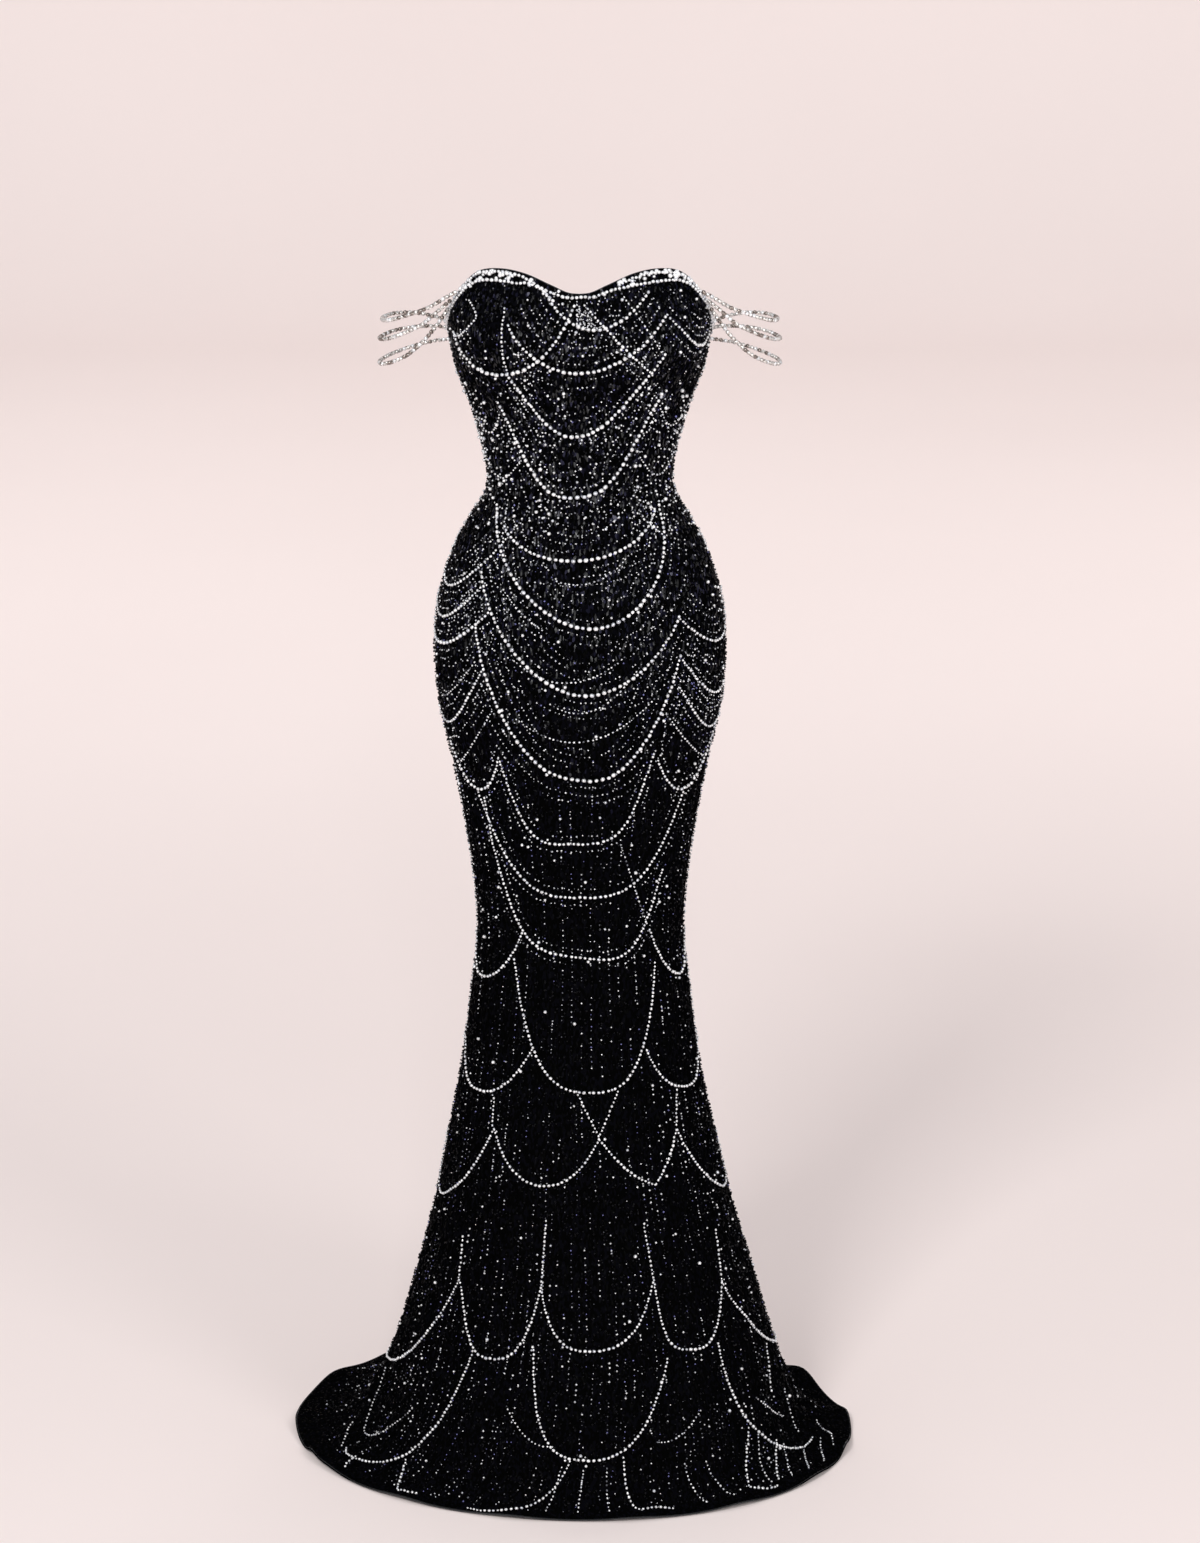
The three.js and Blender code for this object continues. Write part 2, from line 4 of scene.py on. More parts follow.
import bpy
import numpy as np
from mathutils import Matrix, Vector


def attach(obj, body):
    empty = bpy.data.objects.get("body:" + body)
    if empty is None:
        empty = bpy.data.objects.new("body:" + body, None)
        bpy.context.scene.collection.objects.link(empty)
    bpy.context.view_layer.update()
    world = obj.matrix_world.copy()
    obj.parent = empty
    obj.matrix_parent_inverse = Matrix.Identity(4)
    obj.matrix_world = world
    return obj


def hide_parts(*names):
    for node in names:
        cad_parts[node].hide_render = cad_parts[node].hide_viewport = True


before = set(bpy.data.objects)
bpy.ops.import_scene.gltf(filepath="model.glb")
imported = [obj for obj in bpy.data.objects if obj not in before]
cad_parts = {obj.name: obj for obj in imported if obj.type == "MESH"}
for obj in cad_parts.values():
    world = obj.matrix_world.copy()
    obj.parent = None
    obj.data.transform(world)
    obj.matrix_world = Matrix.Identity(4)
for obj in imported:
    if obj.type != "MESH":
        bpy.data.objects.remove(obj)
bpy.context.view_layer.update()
rng = np.random.default_rng(seed=7)

# Driving sizes, in millimetres as on the pattern. A level is a height over the floor.
WAIST_HEIGHT = 1200.0
SEAM_LEVEL = 1192.0
FLARE_SEAM = 640.0
THICKNESS = 2.0
SEAM_GAP = 0.3
MM = 0.001


def table(columns, rows):
    """Rows under named columns, as one array for each column."""
    return dict(zip(columns.split(), np.array(rows, float).T))


def rows_of(columns):
    """The rows of a table, each as its values under their names."""
    return [dict(zip(columns, row)) for row in zip(*columns.values())]


def lengths(vectors):
    return np.linalg.norm(vectors, axis=-1)


def unit(vectors):
    return vectors / lengths(vectors)[..., None]


def run_of(points):
    """Distances along a line of points."""
    return np.concatenate([[0], np.cumsum(lengths(np.diff(points, axis=0)))])


# Sections of level rows that are alike left and right: level, half_width, front_depth,
# back_depth, bow_front and bow_back.
LEVEL_SECTIONS = [
    [1490, 143, 96, 90, 0.03, 0.03], [1440, 149, 108, 94, 0.03, 0.03],
    [1385, 151, 116, 98, 0.03, 0.03], [1335, 142, 110, 97, 0.03, 0.03],
    [1290, 126, 100, 92, 0.03, 0.03], [1240, 112, 94, 86, 0.03, 0.03],
    [1192, 109, 91, 84, 0.03, 0.03], [1150, 132, 96, 98, 0.03, 0.03],
    [1100, 155, 104, 118, 0.03, 0.04], [1050, 167, 110, 130, 0.03, 0.05],
    [990, 171, 112, 133, 0.03, 0.05], [930, 165, 109, 128, 0.03, 0.04],
    [860, 150, 103, 117, 0.03, 0.03], [790, 137, 99, 108, 0.03, 0.02],
    [710, 126, 97, 103, 0.02, 0.02], [650, 123, 98, 104, 0.02, 0], [580, 131, 102, 112, 0.02, 0],
    [500, 141, 110, 128, 0.02, 0],
]
# Sections of the worn gown. front, side and back are the real heights of the row there, the
# next three its reach from the axis, side_y how far the widest point lies behind the axis, shift
# its move to +X, skew how far its +X side is drawn to the front, lean how far its back is drawn to
# +X, and bow the fullness at the diagonals.
SECTIONS = table(
    "level front side back half_width front_depth back_depth side_y shift skew lean"
    " bow_front bow_back",
    [[row[0]] * 4 + row[1:4] + [0] * 4 + row[4:] for row in LEVEL_SECTIONS] + [
        [400, 400, 400, 400, 160, 128, 156, 0, 1, 0, 0, 0.02, 0],
        [300, 300, 300, 300, 182, 152, 190, 0, 3, 0, 0, 0.02, -0.02],
        [200, 200, 200, 200, 209, 180, 232, 2, 5, 2, 0, 0.02, -0.03],
        [130, 128, 125, 118, 230, 206, 270, 3, 5, 6, 4, 0.02, -0.06],
        [70, 64, 58, 40, 253, 230, 308, 5, 2, 12, 9, 0.02, -0.1],
        [35, 26, 22, 13, 277, 247, 338, 7, -3, 19, 14, 0.02, -0.12],
        [15, 9, 7, 6, 308, 257, 360, 8, -7, 25, 17, 0.01, -0.14],
        [0, 2, 2, 2, 344, 264, 385, 9, -10, 28, 18, 0.01, -0.155],
    ],
)

TOP_EDGE = table("angle level", [
    [0, 1437], [4, 1437.8], [12, 1446], [24, 1458], [36, 1462], [50, 1455], [64, 1428],
    [78, 1402], [90, 1388], [120, 1370], [150, 1358], [180, 1354],
])

CUP = {"angle": 36, "level": 1385, "half_angle": 25, "half_height": 46, "reach": 20}

# Soft folds of the flare and the train, grown in from the level "start" to the level "full".
FOLDS = table("angle width rise start full", [
    [-152, 9, 9, 420, 60], [-128, 8, 7, 300, 30], [-108, 6, 8, 200, 25], [-84, 7, 6, 260, 50],
    [-57, 7, 5, 420, 120], [-33, 6, 4, 460, 150], [-9, 6, 4, 480, 150], [15, 6, 4, 460, 150],
    [38, 6, 4, 440, 130], [61, 6, 5, 400, 120], [82, 5, 6, 240, 45], [97, 4, 8, 160, 20],
    [116, 6, 18, 150, 42], [126, 5, 8, 220, 25], [145, 8, 9, 400, 50], [170, 8, 6, 420, 60],
])
# Creases that cross the folds at the train's two sides: each runs from its end a down to its end b,
# a ridge where it rises and a trough where it sinks. A trough ends above the floor.
CREASES = table("angle_a level_a angle_b level_b width rise", [
    [-92, 112, -64, 0, 3, 7], [-101, 122, -74, 0, 4.5, -8],
    [97, 100, 78, 0, 3, 7], [106, 100, 88, 0, 4.5, -7],
])
TROUGH_END, TROUGH_FULL = 22, 75
CREASE_GROWTH = 2.5


def smooth_curve(at, x, y):
    """Smooth curve through the points of two columns."""
    if x[0] > x[-1]:
        x, y = x[::-1], y[::-1]
    at = np.clip(at, x[0], x[-1])
    span = np.diff(x)
    slope = np.diff(y) / span
    tangent = np.concatenate([slope[:1], (slope[:-1] * span[1:] + slope[1:] * span[:-1])
                              / (span[:-1] + span[1:]), slope[-1:]])
    i = np.clip(np.searchsorted(x, at) - 1, 0, len(x) - 2)
    h = span[i]
    t = (at - x[i]) / h
    start = (2 * t**3 - 3 * t**2 + 1) * y[i] + (t**3 - 2 * t**2 + t) * h * tangent[i]
    return start + (3 * t**2 - 2 * t**3) * y[i + 1] + (t**3 - t**2) * h * tangent[i + 1]


def wrapped(angle):
    return (np.asarray(angle, float) + 540) % 360 - 180


def top_level(angle):
    return smooth_curve(np.abs(wrapped(angle)), TOP_EDGE["angle"], TOP_EDGE["level"])


def ring(angle, level):
    """Points of the smooth body of the gown, with no cups or folds, in millimetres."""
    angle, level = np.broadcast_arrays(np.asarray(angle, float), np.asarray(level, float))
    row = {k: smooth_curve(level, SECTIONS["level"], SECTIONS[k]) for k in SECTIONS if k != "level"}
    t = np.radians(angle)
    sine, cosine = np.sin(t), np.cos(t)
    is_front = cosine > 0
    bow = 1 + np.where(is_front, row["bow_front"], row["bow_back"]) * np.sin(2 * t) ** 2
    reach = np.where(
        is_front, row["front_depth"] + row["side_y"], row["back_depth"] - row["side_y"])
    height = row["side"] + (np.where(is_front, row["front"], row["back"]) - row["side"]) * cosine**2
    x = row["shift"] + row["half_width"] * sine * bow - row["lean"] * cosine
    y = row["side_y"] - reach * cosine * bow - row["skew"] * sine
    return np.stack([x, y, height - WAIST_HEIGHT], -1)


# Steps over which a direction is measured, and the highest level at which one is.
ANGLE_STEP, LEVEL_STEP, HIGHEST = 0.5, 1.5, 1489


def facing(place, angle, level):
    """Outward direction of the surface "place"."""
    angle, level = np.asarray(angle), np.asarray(level, float)
    across = place(angle + ANGLE_STEP, level) - place(angle - ANGLE_STEP, level)
    up = (place(angle, np.minimum(level + LEVEL_STEP, HIGHEST))
          - place(angle, np.maximum(level - LEVEL_STEP, 0)))
    return unit(np.cross(across, up))


def bell(distance, width):
    return np.exp(-((distance / width) ** 2))


def smooth_step(t):
    t = np.clip(t, 0, 1)
    return t * t * (3 - 2 * t)


def relief(angle, level):
    """How far cups, folds and creases stand out from the ring."""
    high = bell(level - CUP["level"], CUP["half_height"])
    rise = bell(np.abs(wrapped(angle)) - CUP["angle"], CUP["half_angle"]) * CUP["reach"] * high
    for fold in rows_of(FOLDS):
        grown = smooth_step((fold["start"] - level) / (fold["start"] - fold["full"]))
        rise = rise + fold["rise"] * grown * bell(wrapped(angle - fold["angle"]), fold["width"])
    for crease in rows_of(CREASES):
        part = (crease["level_a"] - level) / (crease["level_a"] - crease["level_b"])
        centre = crease["angle_a"] + (crease["angle_b"] - crease["angle_a"]) * part
        height = crease["rise"] * smooth_step(part * CREASE_GROWTH)
        if crease["rise"] < 0:
            height = height * smooth_step((level - TROUGH_END) / (TROUGH_FULL - TROUGH_END))
        rise = rise + height * bell(wrapped(angle - centre), crease["width"])
    return rise


def cloth(angle, level, offset=0.0):
    """Points of the cloth's outer side, moved out by "offset"."""
    angle, level = np.broadcast_arrays(np.asarray(angle, float), np.asarray(level, float))
    out = relief(angle, level) + offset
    return ring(angle, level) + facing(ring, angle, level) * out[..., None]


def outward(angle, level):
    return facing(cloth, angle, level)


def new_object(name, data):
    item = bpy.data.objects.new(name, data)
    bpy.context.scene.collection.objects.link(item)
    return item


def make_camera(height=2.3, distance=5.0, pitch=16.21, focal_px=4388, frame_px=1543,
                middle_px=600, axis_px=579.5, sensor=36.0):
    """Camera whose height, distance and pitch come from the floor curve of the hem. The full frame
    is frame_px high, and the gown's axis lies left of its middle."""
    data = bpy.data.cameras.new("camera")
    data.sensor_width = sensor
    data.lens = sensor * focal_px / frame_px
    camera = new_object("camera", data)
    off_axis = (middle_px - axis_px) / focal_px * distance
    camera.location = (off_axis, -distance, height - WAIST_HEIGHT * MM)
    camera.rotation_euler = (math.radians(90 - pitch), 0, 0)
    bpy.context.scene.camera = camera


# Materials
class Nodes:
    """Short calls for one material's node tree."""

    def __init__(self, name):
        self.material = bpy.data.materials.new(name)
        self.material.use_nodes = True
        self.tree = self.material.node_tree
        self.shader = self.tree.nodes["Principled BSDF"]

    def add(self, kind, **settings):
        node = self.tree.nodes.new("ShaderNode" + kind)
        for key, value in settings.items():
            setattr(node, key, value)
        return node

    def link(self, output, target):
        self.tree.links.new(output, target)

    def put(self, node, **values):
        for key, value in values.items():
            node.inputs[key.replace("_", " ")].default_value = value
        return node

    def feed(self, **outputs):
        for key, output in outputs.items():
            self.link(output, self.shader.inputs[key.replace("_", " ")])

    def combine(self, kind, operation, *sources):
        """A sum or product of sockets and set values."""
        node = self.add(kind, operation=operation)
        for target, source in zip(node.inputs, sources):
            if isinstance(source, bpy.types.NodeSocket):
                self.link(source, target)
            else:
                target.default_value = source
        return node.outputs[0]

    def place(self):
        return self.add("TexCoord").outputs["Object"]

    def noise(self, scale, detail=2.0):
        node = self.put(self.add("TexNoise"), Scale=scale, Detail=detail)
        self.link(self.place(), node.inputs["Vector"])
        return node

    def cells(self, size):
        node = self.put(self.add("TexVoronoi"), Scale=1 / size)
        self.link(self.place(), node.inputs["Vector"])
        return node

    def ramp(self, source, stops, interpolation="LINEAR"):
        node = self.add("ValToRGB")
        node.color_ramp.interpolation = interpolation
        while len(node.color_ramp.elements) < len(stops):
            node.color_ramp.elements.new(1.0)
        for element, (position, color) in zip(node.color_ramp.elements, stops):
            element.position = position
            color = color if isinstance(color, tuple) else (color, color, color)
            element.color = (*color, 1.0)
        self.link(source, node.inputs["Fac"])
        return node.outputs["Color"]

    def bump(self, height, strength, distance):
        node = self.put(self.add("Bump"), Strength=strength, Distance=distance)
        self.link(height, node.inputs["Height"])
        self.feed(Normal=node.outputs["Normal"])


# From the lowest to the highest of these heights, in metres, more of the sequins shine:
# more get gloss, and more get a light grey colour that is a painted glint.
FADE = {"From_Min": -0.50, "From_Max": -0.12, "To_Min": 0.16, "To_Max": 0.0}
MEAN_INDEX = 1.13


def beaded_mesh(size=0.0022, upright=0.45, tilt=0.7, dome=0.8, dome_height=0.0008):
    """Black mesh covered in black bugle beads and sequins, drawn out upright, each lying at its own
    tilt."""
    m = Nodes("beaded_mesh")
    drawn_out = m.combine("VectorMath", "MULTIPLY", m.place(), (1.0, 1.0, upright))
    sequins = m.put(m.add("TexVoronoi"), Scale=1 / size)
    m.link(drawn_out, sequins.inputs["Vector"])
    chance = m.add("SeparateColor")
    m.link(sequins.outputs["Color"], chance.inputs["Color"])
    height = m.add("SeparateXYZ")
    m.link(m.place(), height.inputs["Vector"])
    fade = m.put(m.add("MapRange"), **FADE)
    m.link(height.outputs["Z"], fade.inputs["Value"])
    faded = fade.outputs["Result"]
    red, blue = (m.combine("Math", "SUBTRACT", chance.outputs[channel], faded)
                 for channel in ("Red", "Blue"))
    # Sequins near black, some navy. The rare light grey cells of the last stop are painted glints.
    color = m.ramp(red, [
        (0.0, (0.001, 0.001, 0.001)), (0.5, (0.002, 0.002, 0.003)),
        (0.88, (0.006, 0.006, 0.012)), (0.96, (0.02, 0.02, 0.035)), (0.99, (0.10, 0.10, 0.13)),
    ], "CONSTANT")
    m.feed(Base_Color=color)
    rough = m.ramp(chance.outputs["Green"], [(0.0, 0.28), (0.5, 0.45), (1.0, 0.65)])
    m.feed(Roughness=rough)
    gloss = m.ramp(blue, [(0.0, 0.0), (0.70, 0.06), (0.90, 0.45)], "CONSTANT")
    m.put(m.shader, IOR=MEAN_INDEX)
    m.feed(IOR=m.combine("Math", "ADD", gloss, 1.0))
    centred = m.combine("VectorMath", "SUBTRACT", sequins.outputs["Color"], (0.5, 0.5, 0.5))
    tilted = m.put(m.add("VectorMath", operation="SCALE"), Scale=tilt)
    m.link(centred, tilted.inputs[0])
    domed = m.put(m.add("Bump", invert=True), Strength=dome, Distance=dome_height)
    m.link(sequins.outputs["Distance"], domed.inputs["Height"])
    summed = m.combine("VectorMath", "ADD", domed.outputs["Normal"], tilted.outputs["Vector"])
    m.feed(Normal=m.combine("VectorMath", "NORMALIZE", summed))
    return m.material


def glass_bead(name, color, roughness, metallic, index=1.5):
    """Silver-lined glass: each bead a little lighter or darker than the next."""
    m = Nodes(name)
    tone = m.noise(scale=170.0).outputs["Fac"]
    dark = tuple(0.7 * c for c in color)
    m.feed(Base_Color=m.ramp(tone, [(0.35, dark), (0.6, color)]))
    m.feed(Roughness=m.ramp(tone, [(0.3, roughness), (0.7, roughness * 1.8)]))
    m.put(m.shader, Metallic=metallic, IOR=index)
    m.bump(m.cells(size=0.0016).outputs["Distance"], strength=0.35, distance=0.0004)
    return m.material


def woven(name, color, size):
    """Plain woven tape or binding."""
    m = Nodes(name)
    weave = m.add("TexWave", wave_type="BANDS", bands_direction="Z")
    m.put(weave, Scale=1 / size, Distortion=0.6)
    m.link(m.place(), weave.inputs["Vector"])
    fill = weave.outputs["Fac"]
    lighter = tuple(2.2 * c for c in color)
    m.feed(Base_Color=m.ramp(fill, [(0.2, color), (0.9, lighter)]))
    m.put(m.shader, Roughness=0.75, Sheen_Weight=0.25)
    m.bump(fill, strength=0.4, distance=0.0003)
    return m.material


def dark_metal():
    m = Nodes("zip_metal")
    wear = m.noise(scale=900.0, detail=4.0).outputs["Fac"]
    m.feed(Base_Color=m.ramp(wear, [(0.35, 0.05), (0.7, 0.12)]))
    m.feed(Roughness=m.ramp(wear, [(0.3, 0.22), (0.7, 0.42)]))
    m.put(m.shader, Metallic=1.0)
    m.bump(wear, strength=0.15, distance=0.0001)
    return m.material


MESH_CLOTH = beaded_mesh()
SILVER = glass_bead("silver_beads", (0.93, 0.93, 0.94), roughness=0.18, metallic=0.35)
SEED = glass_bead("seed_beads", (0.74, 0.76, 0.81), roughness=0.2, metallic=0.45)
DIM = glass_bead("smoke_beads", (0.16, 0.165, 0.19), roughness=0.25, metallic=0.5)
VIOLET = glass_bead("blue_violet_beads", (0.20, 0.20, 0.46), roughness=0.2, metallic=0.4)
STRAND = glass_bead("strand_beads", (0.84, 0.81, 0.78), roughness=0.13, metallic=0.6)
# A darker copy of the strand beads, mixed among them: painted shade between the lit beads.
STRAND_PAINTED_SHADE = glass_bead("strand_painted_shade_beads", (0.34, 0.29, 0.26), roughness=0.15, metallic=0.8)
JET = glass_bead("jet_beads", (0.002, 0.002, 0.003), roughness=0.3, metallic=0.0, index=1.25)
BINDING = woven("binding", (0.006, 0.006, 0.007), size=0.0011)
TAPE = woven("zip_tape", (0.008, 0.008, 0.009), size=0.0016)
METAL = dark_metal()
BRIGHT = ([SILVER, SEED], [0.8, 0.2])


# Meshes
def new_piece(name, vertices, faces, materials, material_index=None):
    """A mesh object from arrays in millimetres, riding on the gown."""
    mesh = bpy.data.meshes.new(name)
    faces = np.asarray(faces, np.int32)
    mesh.vertices.add(len(vertices))
    mesh.vertices.foreach_set("co", (np.asarray(vertices, float) * MM).astype(np.float32).ravel())
    mesh.loops.add(faces.size)
    mesh.loops.foreach_set("vertex_index", faces.ravel())
    mesh.polygons.add(len(faces))
    starts = np.arange(0, faces.size, faces.shape[1], dtype=np.int32)
    mesh.polygons.foreach_set("loop_start", starts)
    mesh.update(calc_edges=True)
    for material in materials:
        mesh.materials.append(material)
    mesh.polygons.foreach_set("use_smooth", np.full(len(faces), True))
    if material_index is not None:
        mesh.polygons.foreach_set("material_index", np.asarray(material_index, np.int32))
    mesh.validate()
    mesh.update()
    piece = new_object(name, mesh)
    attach(piece, "gown")
    return piece


def ball(segments, rings):
    """Unit ball as vertices and triangles."""
    polar = np.linspace(0, np.pi, rings + 1)[1:-1]
    turn = np.arange(segments) * 2 * np.pi / segments
    body = np.array([[math.sin(p) * math.cos(t), math.sin(p) * math.sin(t), math.cos(p)]
                     for p in polar for t in turn])
    vertices = np.vstack([[0, 0, 1], body, [0, 0, -1]])
    faces = []
    last = len(vertices) - 1
    for s in range(segments):
        n = (s + 1) % segments
        faces.append((0, 1 + s, 1 + n))
        for r in range(rings - 2):
            a, b = 1 + r * segments, 1 + (r + 1) * segments
            faces += [(a + s, b + s, b + n), (a + s, b + n, a + n)]
        end = 1 + (rings - 2) * segments
        faces.append((last, end + n, end + s))
    return vertices, np.array(faces)


BIG_BALL = ball(7, 4)
SMALL_BALL = ball(5, 3)
SEED_BALL = ball(4, 2)
# A pole this near to upright takes its side from the X axis.
STEEP = 0.9


def beads(name, template, centres, radii, axes, materials, kinds=None,
          stretch=1):
    """Many beads as one mesh. "axes" is where each bead's pole points, "kinds" its material and
    "stretch" how much longer than wide it is."""
    shape, faces = template
    poles = unit(axes)
    helper = np.where(np.abs(poles[:, 2:]) < STEEP, [[0.0, 0.0, 1.0]], [[1.0, 0.0, 0.0]])
    side = unit(np.cross(helper, poles))
    third = np.cross(poles, side)
    turned = (side[:, None] * shape[None, :, :1] + third[:, None] * shape[None, :, 1:2]
              + poles[:, None] * shape[None, :, 2:] * stretch)
    vertices = centres[:, None] + turned * radii[:, None, None]
    count = len(centres)
    joined = faces[None] + (np.arange(count) * len(shape))[:, None, None]
    index = None if kinds is None else np.repeat(kinds, len(faces))
    return new_piece(name, vertices.reshape(-1, 3), joined.reshape(-1, 3), materials,
                     material_index=index)


# Cloth panels. Their shells are a little thinner than the solids, and rows lie closer at the hem.
PANEL_STEP = 1.5
SKIRT_ROWS = np.linspace(SEAM_LEVEL - SEAM_GAP, FLARE_SEAM + SEAM_GAP / 2, 62)
FLARE_ROWS = np.concatenate([
    np.linspace(FLARE_SEAM - SEAM_GAP / 2, 200, 50),
    np.linspace(193, 40, 26),
    np.linspace(34, 0, 14),
])
BODICE_ROWS = 46
BODICE_CROWDING = 1.1
SHELL_THICKNESS = THICKNESS - 0.2
SHARP_DEGREES = 50


def degree_width(angle, level):
    """Millimetres of cloth to a degree."""
    return lengths(cloth(angle + ANGLE_STEP, level) - cloth(angle - ANGLE_STEP, level))


def drawn_back(angle, level, side):
    """The seam's angle, drawn back so that two pieces end SEAM_GAP apart."""
    return angle + side * SEAM_GAP / 2 / degree_width(angle, level)


def seam_ends(angles, levels):
    """Angles of a grid of columns and rows, with its first and last column drawn back."""
    grid = np.repeat(angles[:, None], levels.shape[1], axis=1)
    grid[0] = drawn_back(grid[0], levels[0], 1)
    grid[-1] = drawn_back(grid[-1], levels[-1], -1)
    return grid


def shell(angles, levels, thickness, inset=0.0):
    """A closed thin shell over a grid, as vertices and quads: outer side, inner side and edges."""
    columns, rows = angles.shape
    outer = cloth(angles, levels, -inset)
    inner = outer - facing(ring, angles, levels) * thickness
    size = columns * rows
    i, j = np.meshgrid(np.arange(columns - 1), np.arange(rows - 1), indexing="ij")
    a = (i * rows + j).ravel()
    b, c, d = a + 1, a + rows + 1, a + rows
    sides = [np.stack([a, b, c, d], 1), np.stack([a, d, c, b], 1) + size]
    down = np.arange(rows - 1)
    along = np.arange(columns - 1) * rows
    left, right = down, down + (columns - 1) * rows
    top, bottom = along, along + rows - 1
    sides.append(np.stack([left, left + size, left + size + 1, left + 1], 1))
    sides.append(np.stack([right, right + 1, right + size + 1, right + size], 1))
    sides.append(np.stack([top, top + rows, top + rows + size, top + size], 1))
    sides.append(np.stack([bottom, bottom + size, bottom + rows + size, bottom + rows], 1))
    vertices = np.vstack([outer.reshape(-1, 3), inner.reshape(-1, 3)])
    return vertices, np.vstack(sides), outer


def cloth_panel(node, angles, levels):
    levels = np.repeat(levels[None], len(angles), 0) if levels.ndim == 1 else levels
    vertices, faces, outer = shell(seam_ends(angles, levels), levels, SHELL_THICKNESS)
    piece = new_piece(f"cloth_{node}", vertices, faces, [MESH_CLOTH])
    piece.data.set_sharp_from_angle(angle=math.radians(SHARP_DEGREES))
    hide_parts(node)


def bodice_levels(angles):
    part = np.linspace(0, 1, BODICE_ROWS)[None] ** BODICE_CROWDING
    top = top_level(angles)[:, None]
    return top + (SEAM_LEVEL - top) * part


def make_panels():
    for name, start, end in (("front", -90, 90), ("back_left", 90, 180), ("back_right", 180, 270)):
        angles = np.linspace(start, end, round((end - start) / PANEL_STEP) + 1)
        cloth_panel(f"bodice_{name}", angles, bodice_levels(angles))
        cloth_panel(f"skirt_{name}", angles, SKIRT_ROWS)
        cloth_panel(f"flare_{name}", angles, FLARE_ROWS)


# Bead strings. A swag hangs from one end to the other, "drop" below the line between them. "full"
# is the power of its curve, and "low" the part of the way at which it hangs lowest.
SWAG_COLUMNS = "angle_a level_a angle_b level_b drop full low"
LEFT_OUT = (0, 2, 0.5)


def swags_of(rows):
    """Swags from rows, of which a short one takes its last values from LEFT_OUT."""
    return table(SWAG_COLUMNS, [[*row, *LEFT_OUT[len(row) - 4:]] for row in rows])


FRONT_SWAGS = {
    "bodice": swags_of([
        [-2, 1426, -62, 1387, 58, 2.3, 0.46], [2, 1426, 32, 1348, 4],
        [-15, 1441, 31, 1441, 43, 2, 0.46], [-29, 1403, 36, 1412, 58, 2, 0.46],
        [36, 1412, 76, 1392, 28], [-31, 1346, 35, 1373, 86, 2.3, 0.48],
        [-42, 1310, 41, 1322, 116, 2.8, 0.48],
    ]),
    "hip": swags_of([
        [-42, 1163, 47, 1180, 44, 2, 0.48], [-55, 1184, 52, 1188, 137, 1.9, 0.56],
        [-46, 1109, 42, 1058, 112, 1.9], [-44, 1045, 41, 1013, 162, 2.7],
        [-39, 1142, -80, 1090, 26], [-44, 1091, -82, 1054, 22], [-38, 1064, -82, 1024, 24],
        [-39, 998, -80, 930, 36], [42, 1055, 80, 1028, 20], [42, 1007, 80, 966, 26],
        [41, 974, 80, 926, 30],
    ]),
    "thigh": swags_of([
        [-36, 890, 32, 896, 106, 4.4], [-52, 842, 53, 842, 121, 3.4],
        [-47, 776, 46, 750, 116, 4.3, 0.49], [-36, 890, -71, 896, 47, 2.2, 0.45],
        [34, 887, 74, 914, 54, 2.4, 0.52],
    ]),
    "knee": swags_of([
        [-85, 655, -32, 676, 57, 2.4, 0.46], [40, 676, 85, 656, 56, 2.4, 0.52],
        [-38, 640, 44, 636, 155, 3, 0.52], [-80, 520, -24, 533, 56, 2.4],
        [34, 530, 84, 510, 48, 2.4, 0.45], [-86, 350, -41, 431, 50, 2.5, 0.48],
        [-41, 431, 8, 428, 58, 2.2], [8, 428, 31, 368, 9, 1.8], [31, 368, 46, 428, 4],
        [46, 428, 87, 340, 38, 2.2, 0.46],
    ]),
    "flare": swags_of([
        [-102, 96, -48, 245, 58, 2.6, 0.65], [-48, 245, -15, 255, 84, 2.8, 0.58],
        [-15, 255, 25, 260, 74, 2.8, 0.44], [25, 260, 54, 238, 78, 3, 0.3],
        [54, 238, 97, 117, 34, 2.2, 0.35], [-36, 172, -64, 20, 68, 1.8, 0.43],
        [-16, 184, 27, 172, 110, 2.8, 0.42], [46, 174, 79, 22, 60, 2.2, 0.3],
    ]),
}
# Short strings of large beads along the hem.
HEM_SWAGS = swags_of([
    [-1, 69, -19, 5, 28, 2, 0.4], [13, 72, 18, 14, 14, 2.2], [18, 14, 25, 10, -4],
    [-46, 42, -36, 6, 3], [-36, 6, -31, 9, 1], [-57, 19, -53, 6, 2], [63, 50, 54, 12],
    [53, 76, 46, 18], [46, 18, 52, 9, 5],
])
# The back, given for the wearer's left half and mirrored. It keeps clear of the zip.
BACK_SWAGS = {
    "bodice": swags_of([
        [96, 1352, 170, 1316, 52], [104, 1338, 164, 1262, 40], [96, 1270, 170, 1262, 46],
    ]),
    "hip": swags_of([
        [96, 1140, 172, 1120, 60], [104, 1130, 172, 1040, 60], [96, 1070, 172, 1040, 74],
    ]),
    "thigh": swags_of([
        [96, 925, 176, 925, 92, 2.4], [110, 930, 176, 820, 70, 2.2], [96, 830, 176, 820, 96, 2.4],
    ]),
    "knee": swags_of([
        [96, 640, 134, 646, 60, 2.2], [133, 640, 176, 640, 60, 2.2], [96, 520, 134, 526, 52, 2.2],
        [133, 520, 176, 520, 52, 2.2],
    ]),
    "flare": swags_of([
        [96, 390, 136, 396, 66, 2.3], [135, 390, 176, 390, 66, 2.3], [100, 106, 136, 231, 44, 2.2],
        [135, 225, 176, 225, 84, 2.5],
    ]),
}
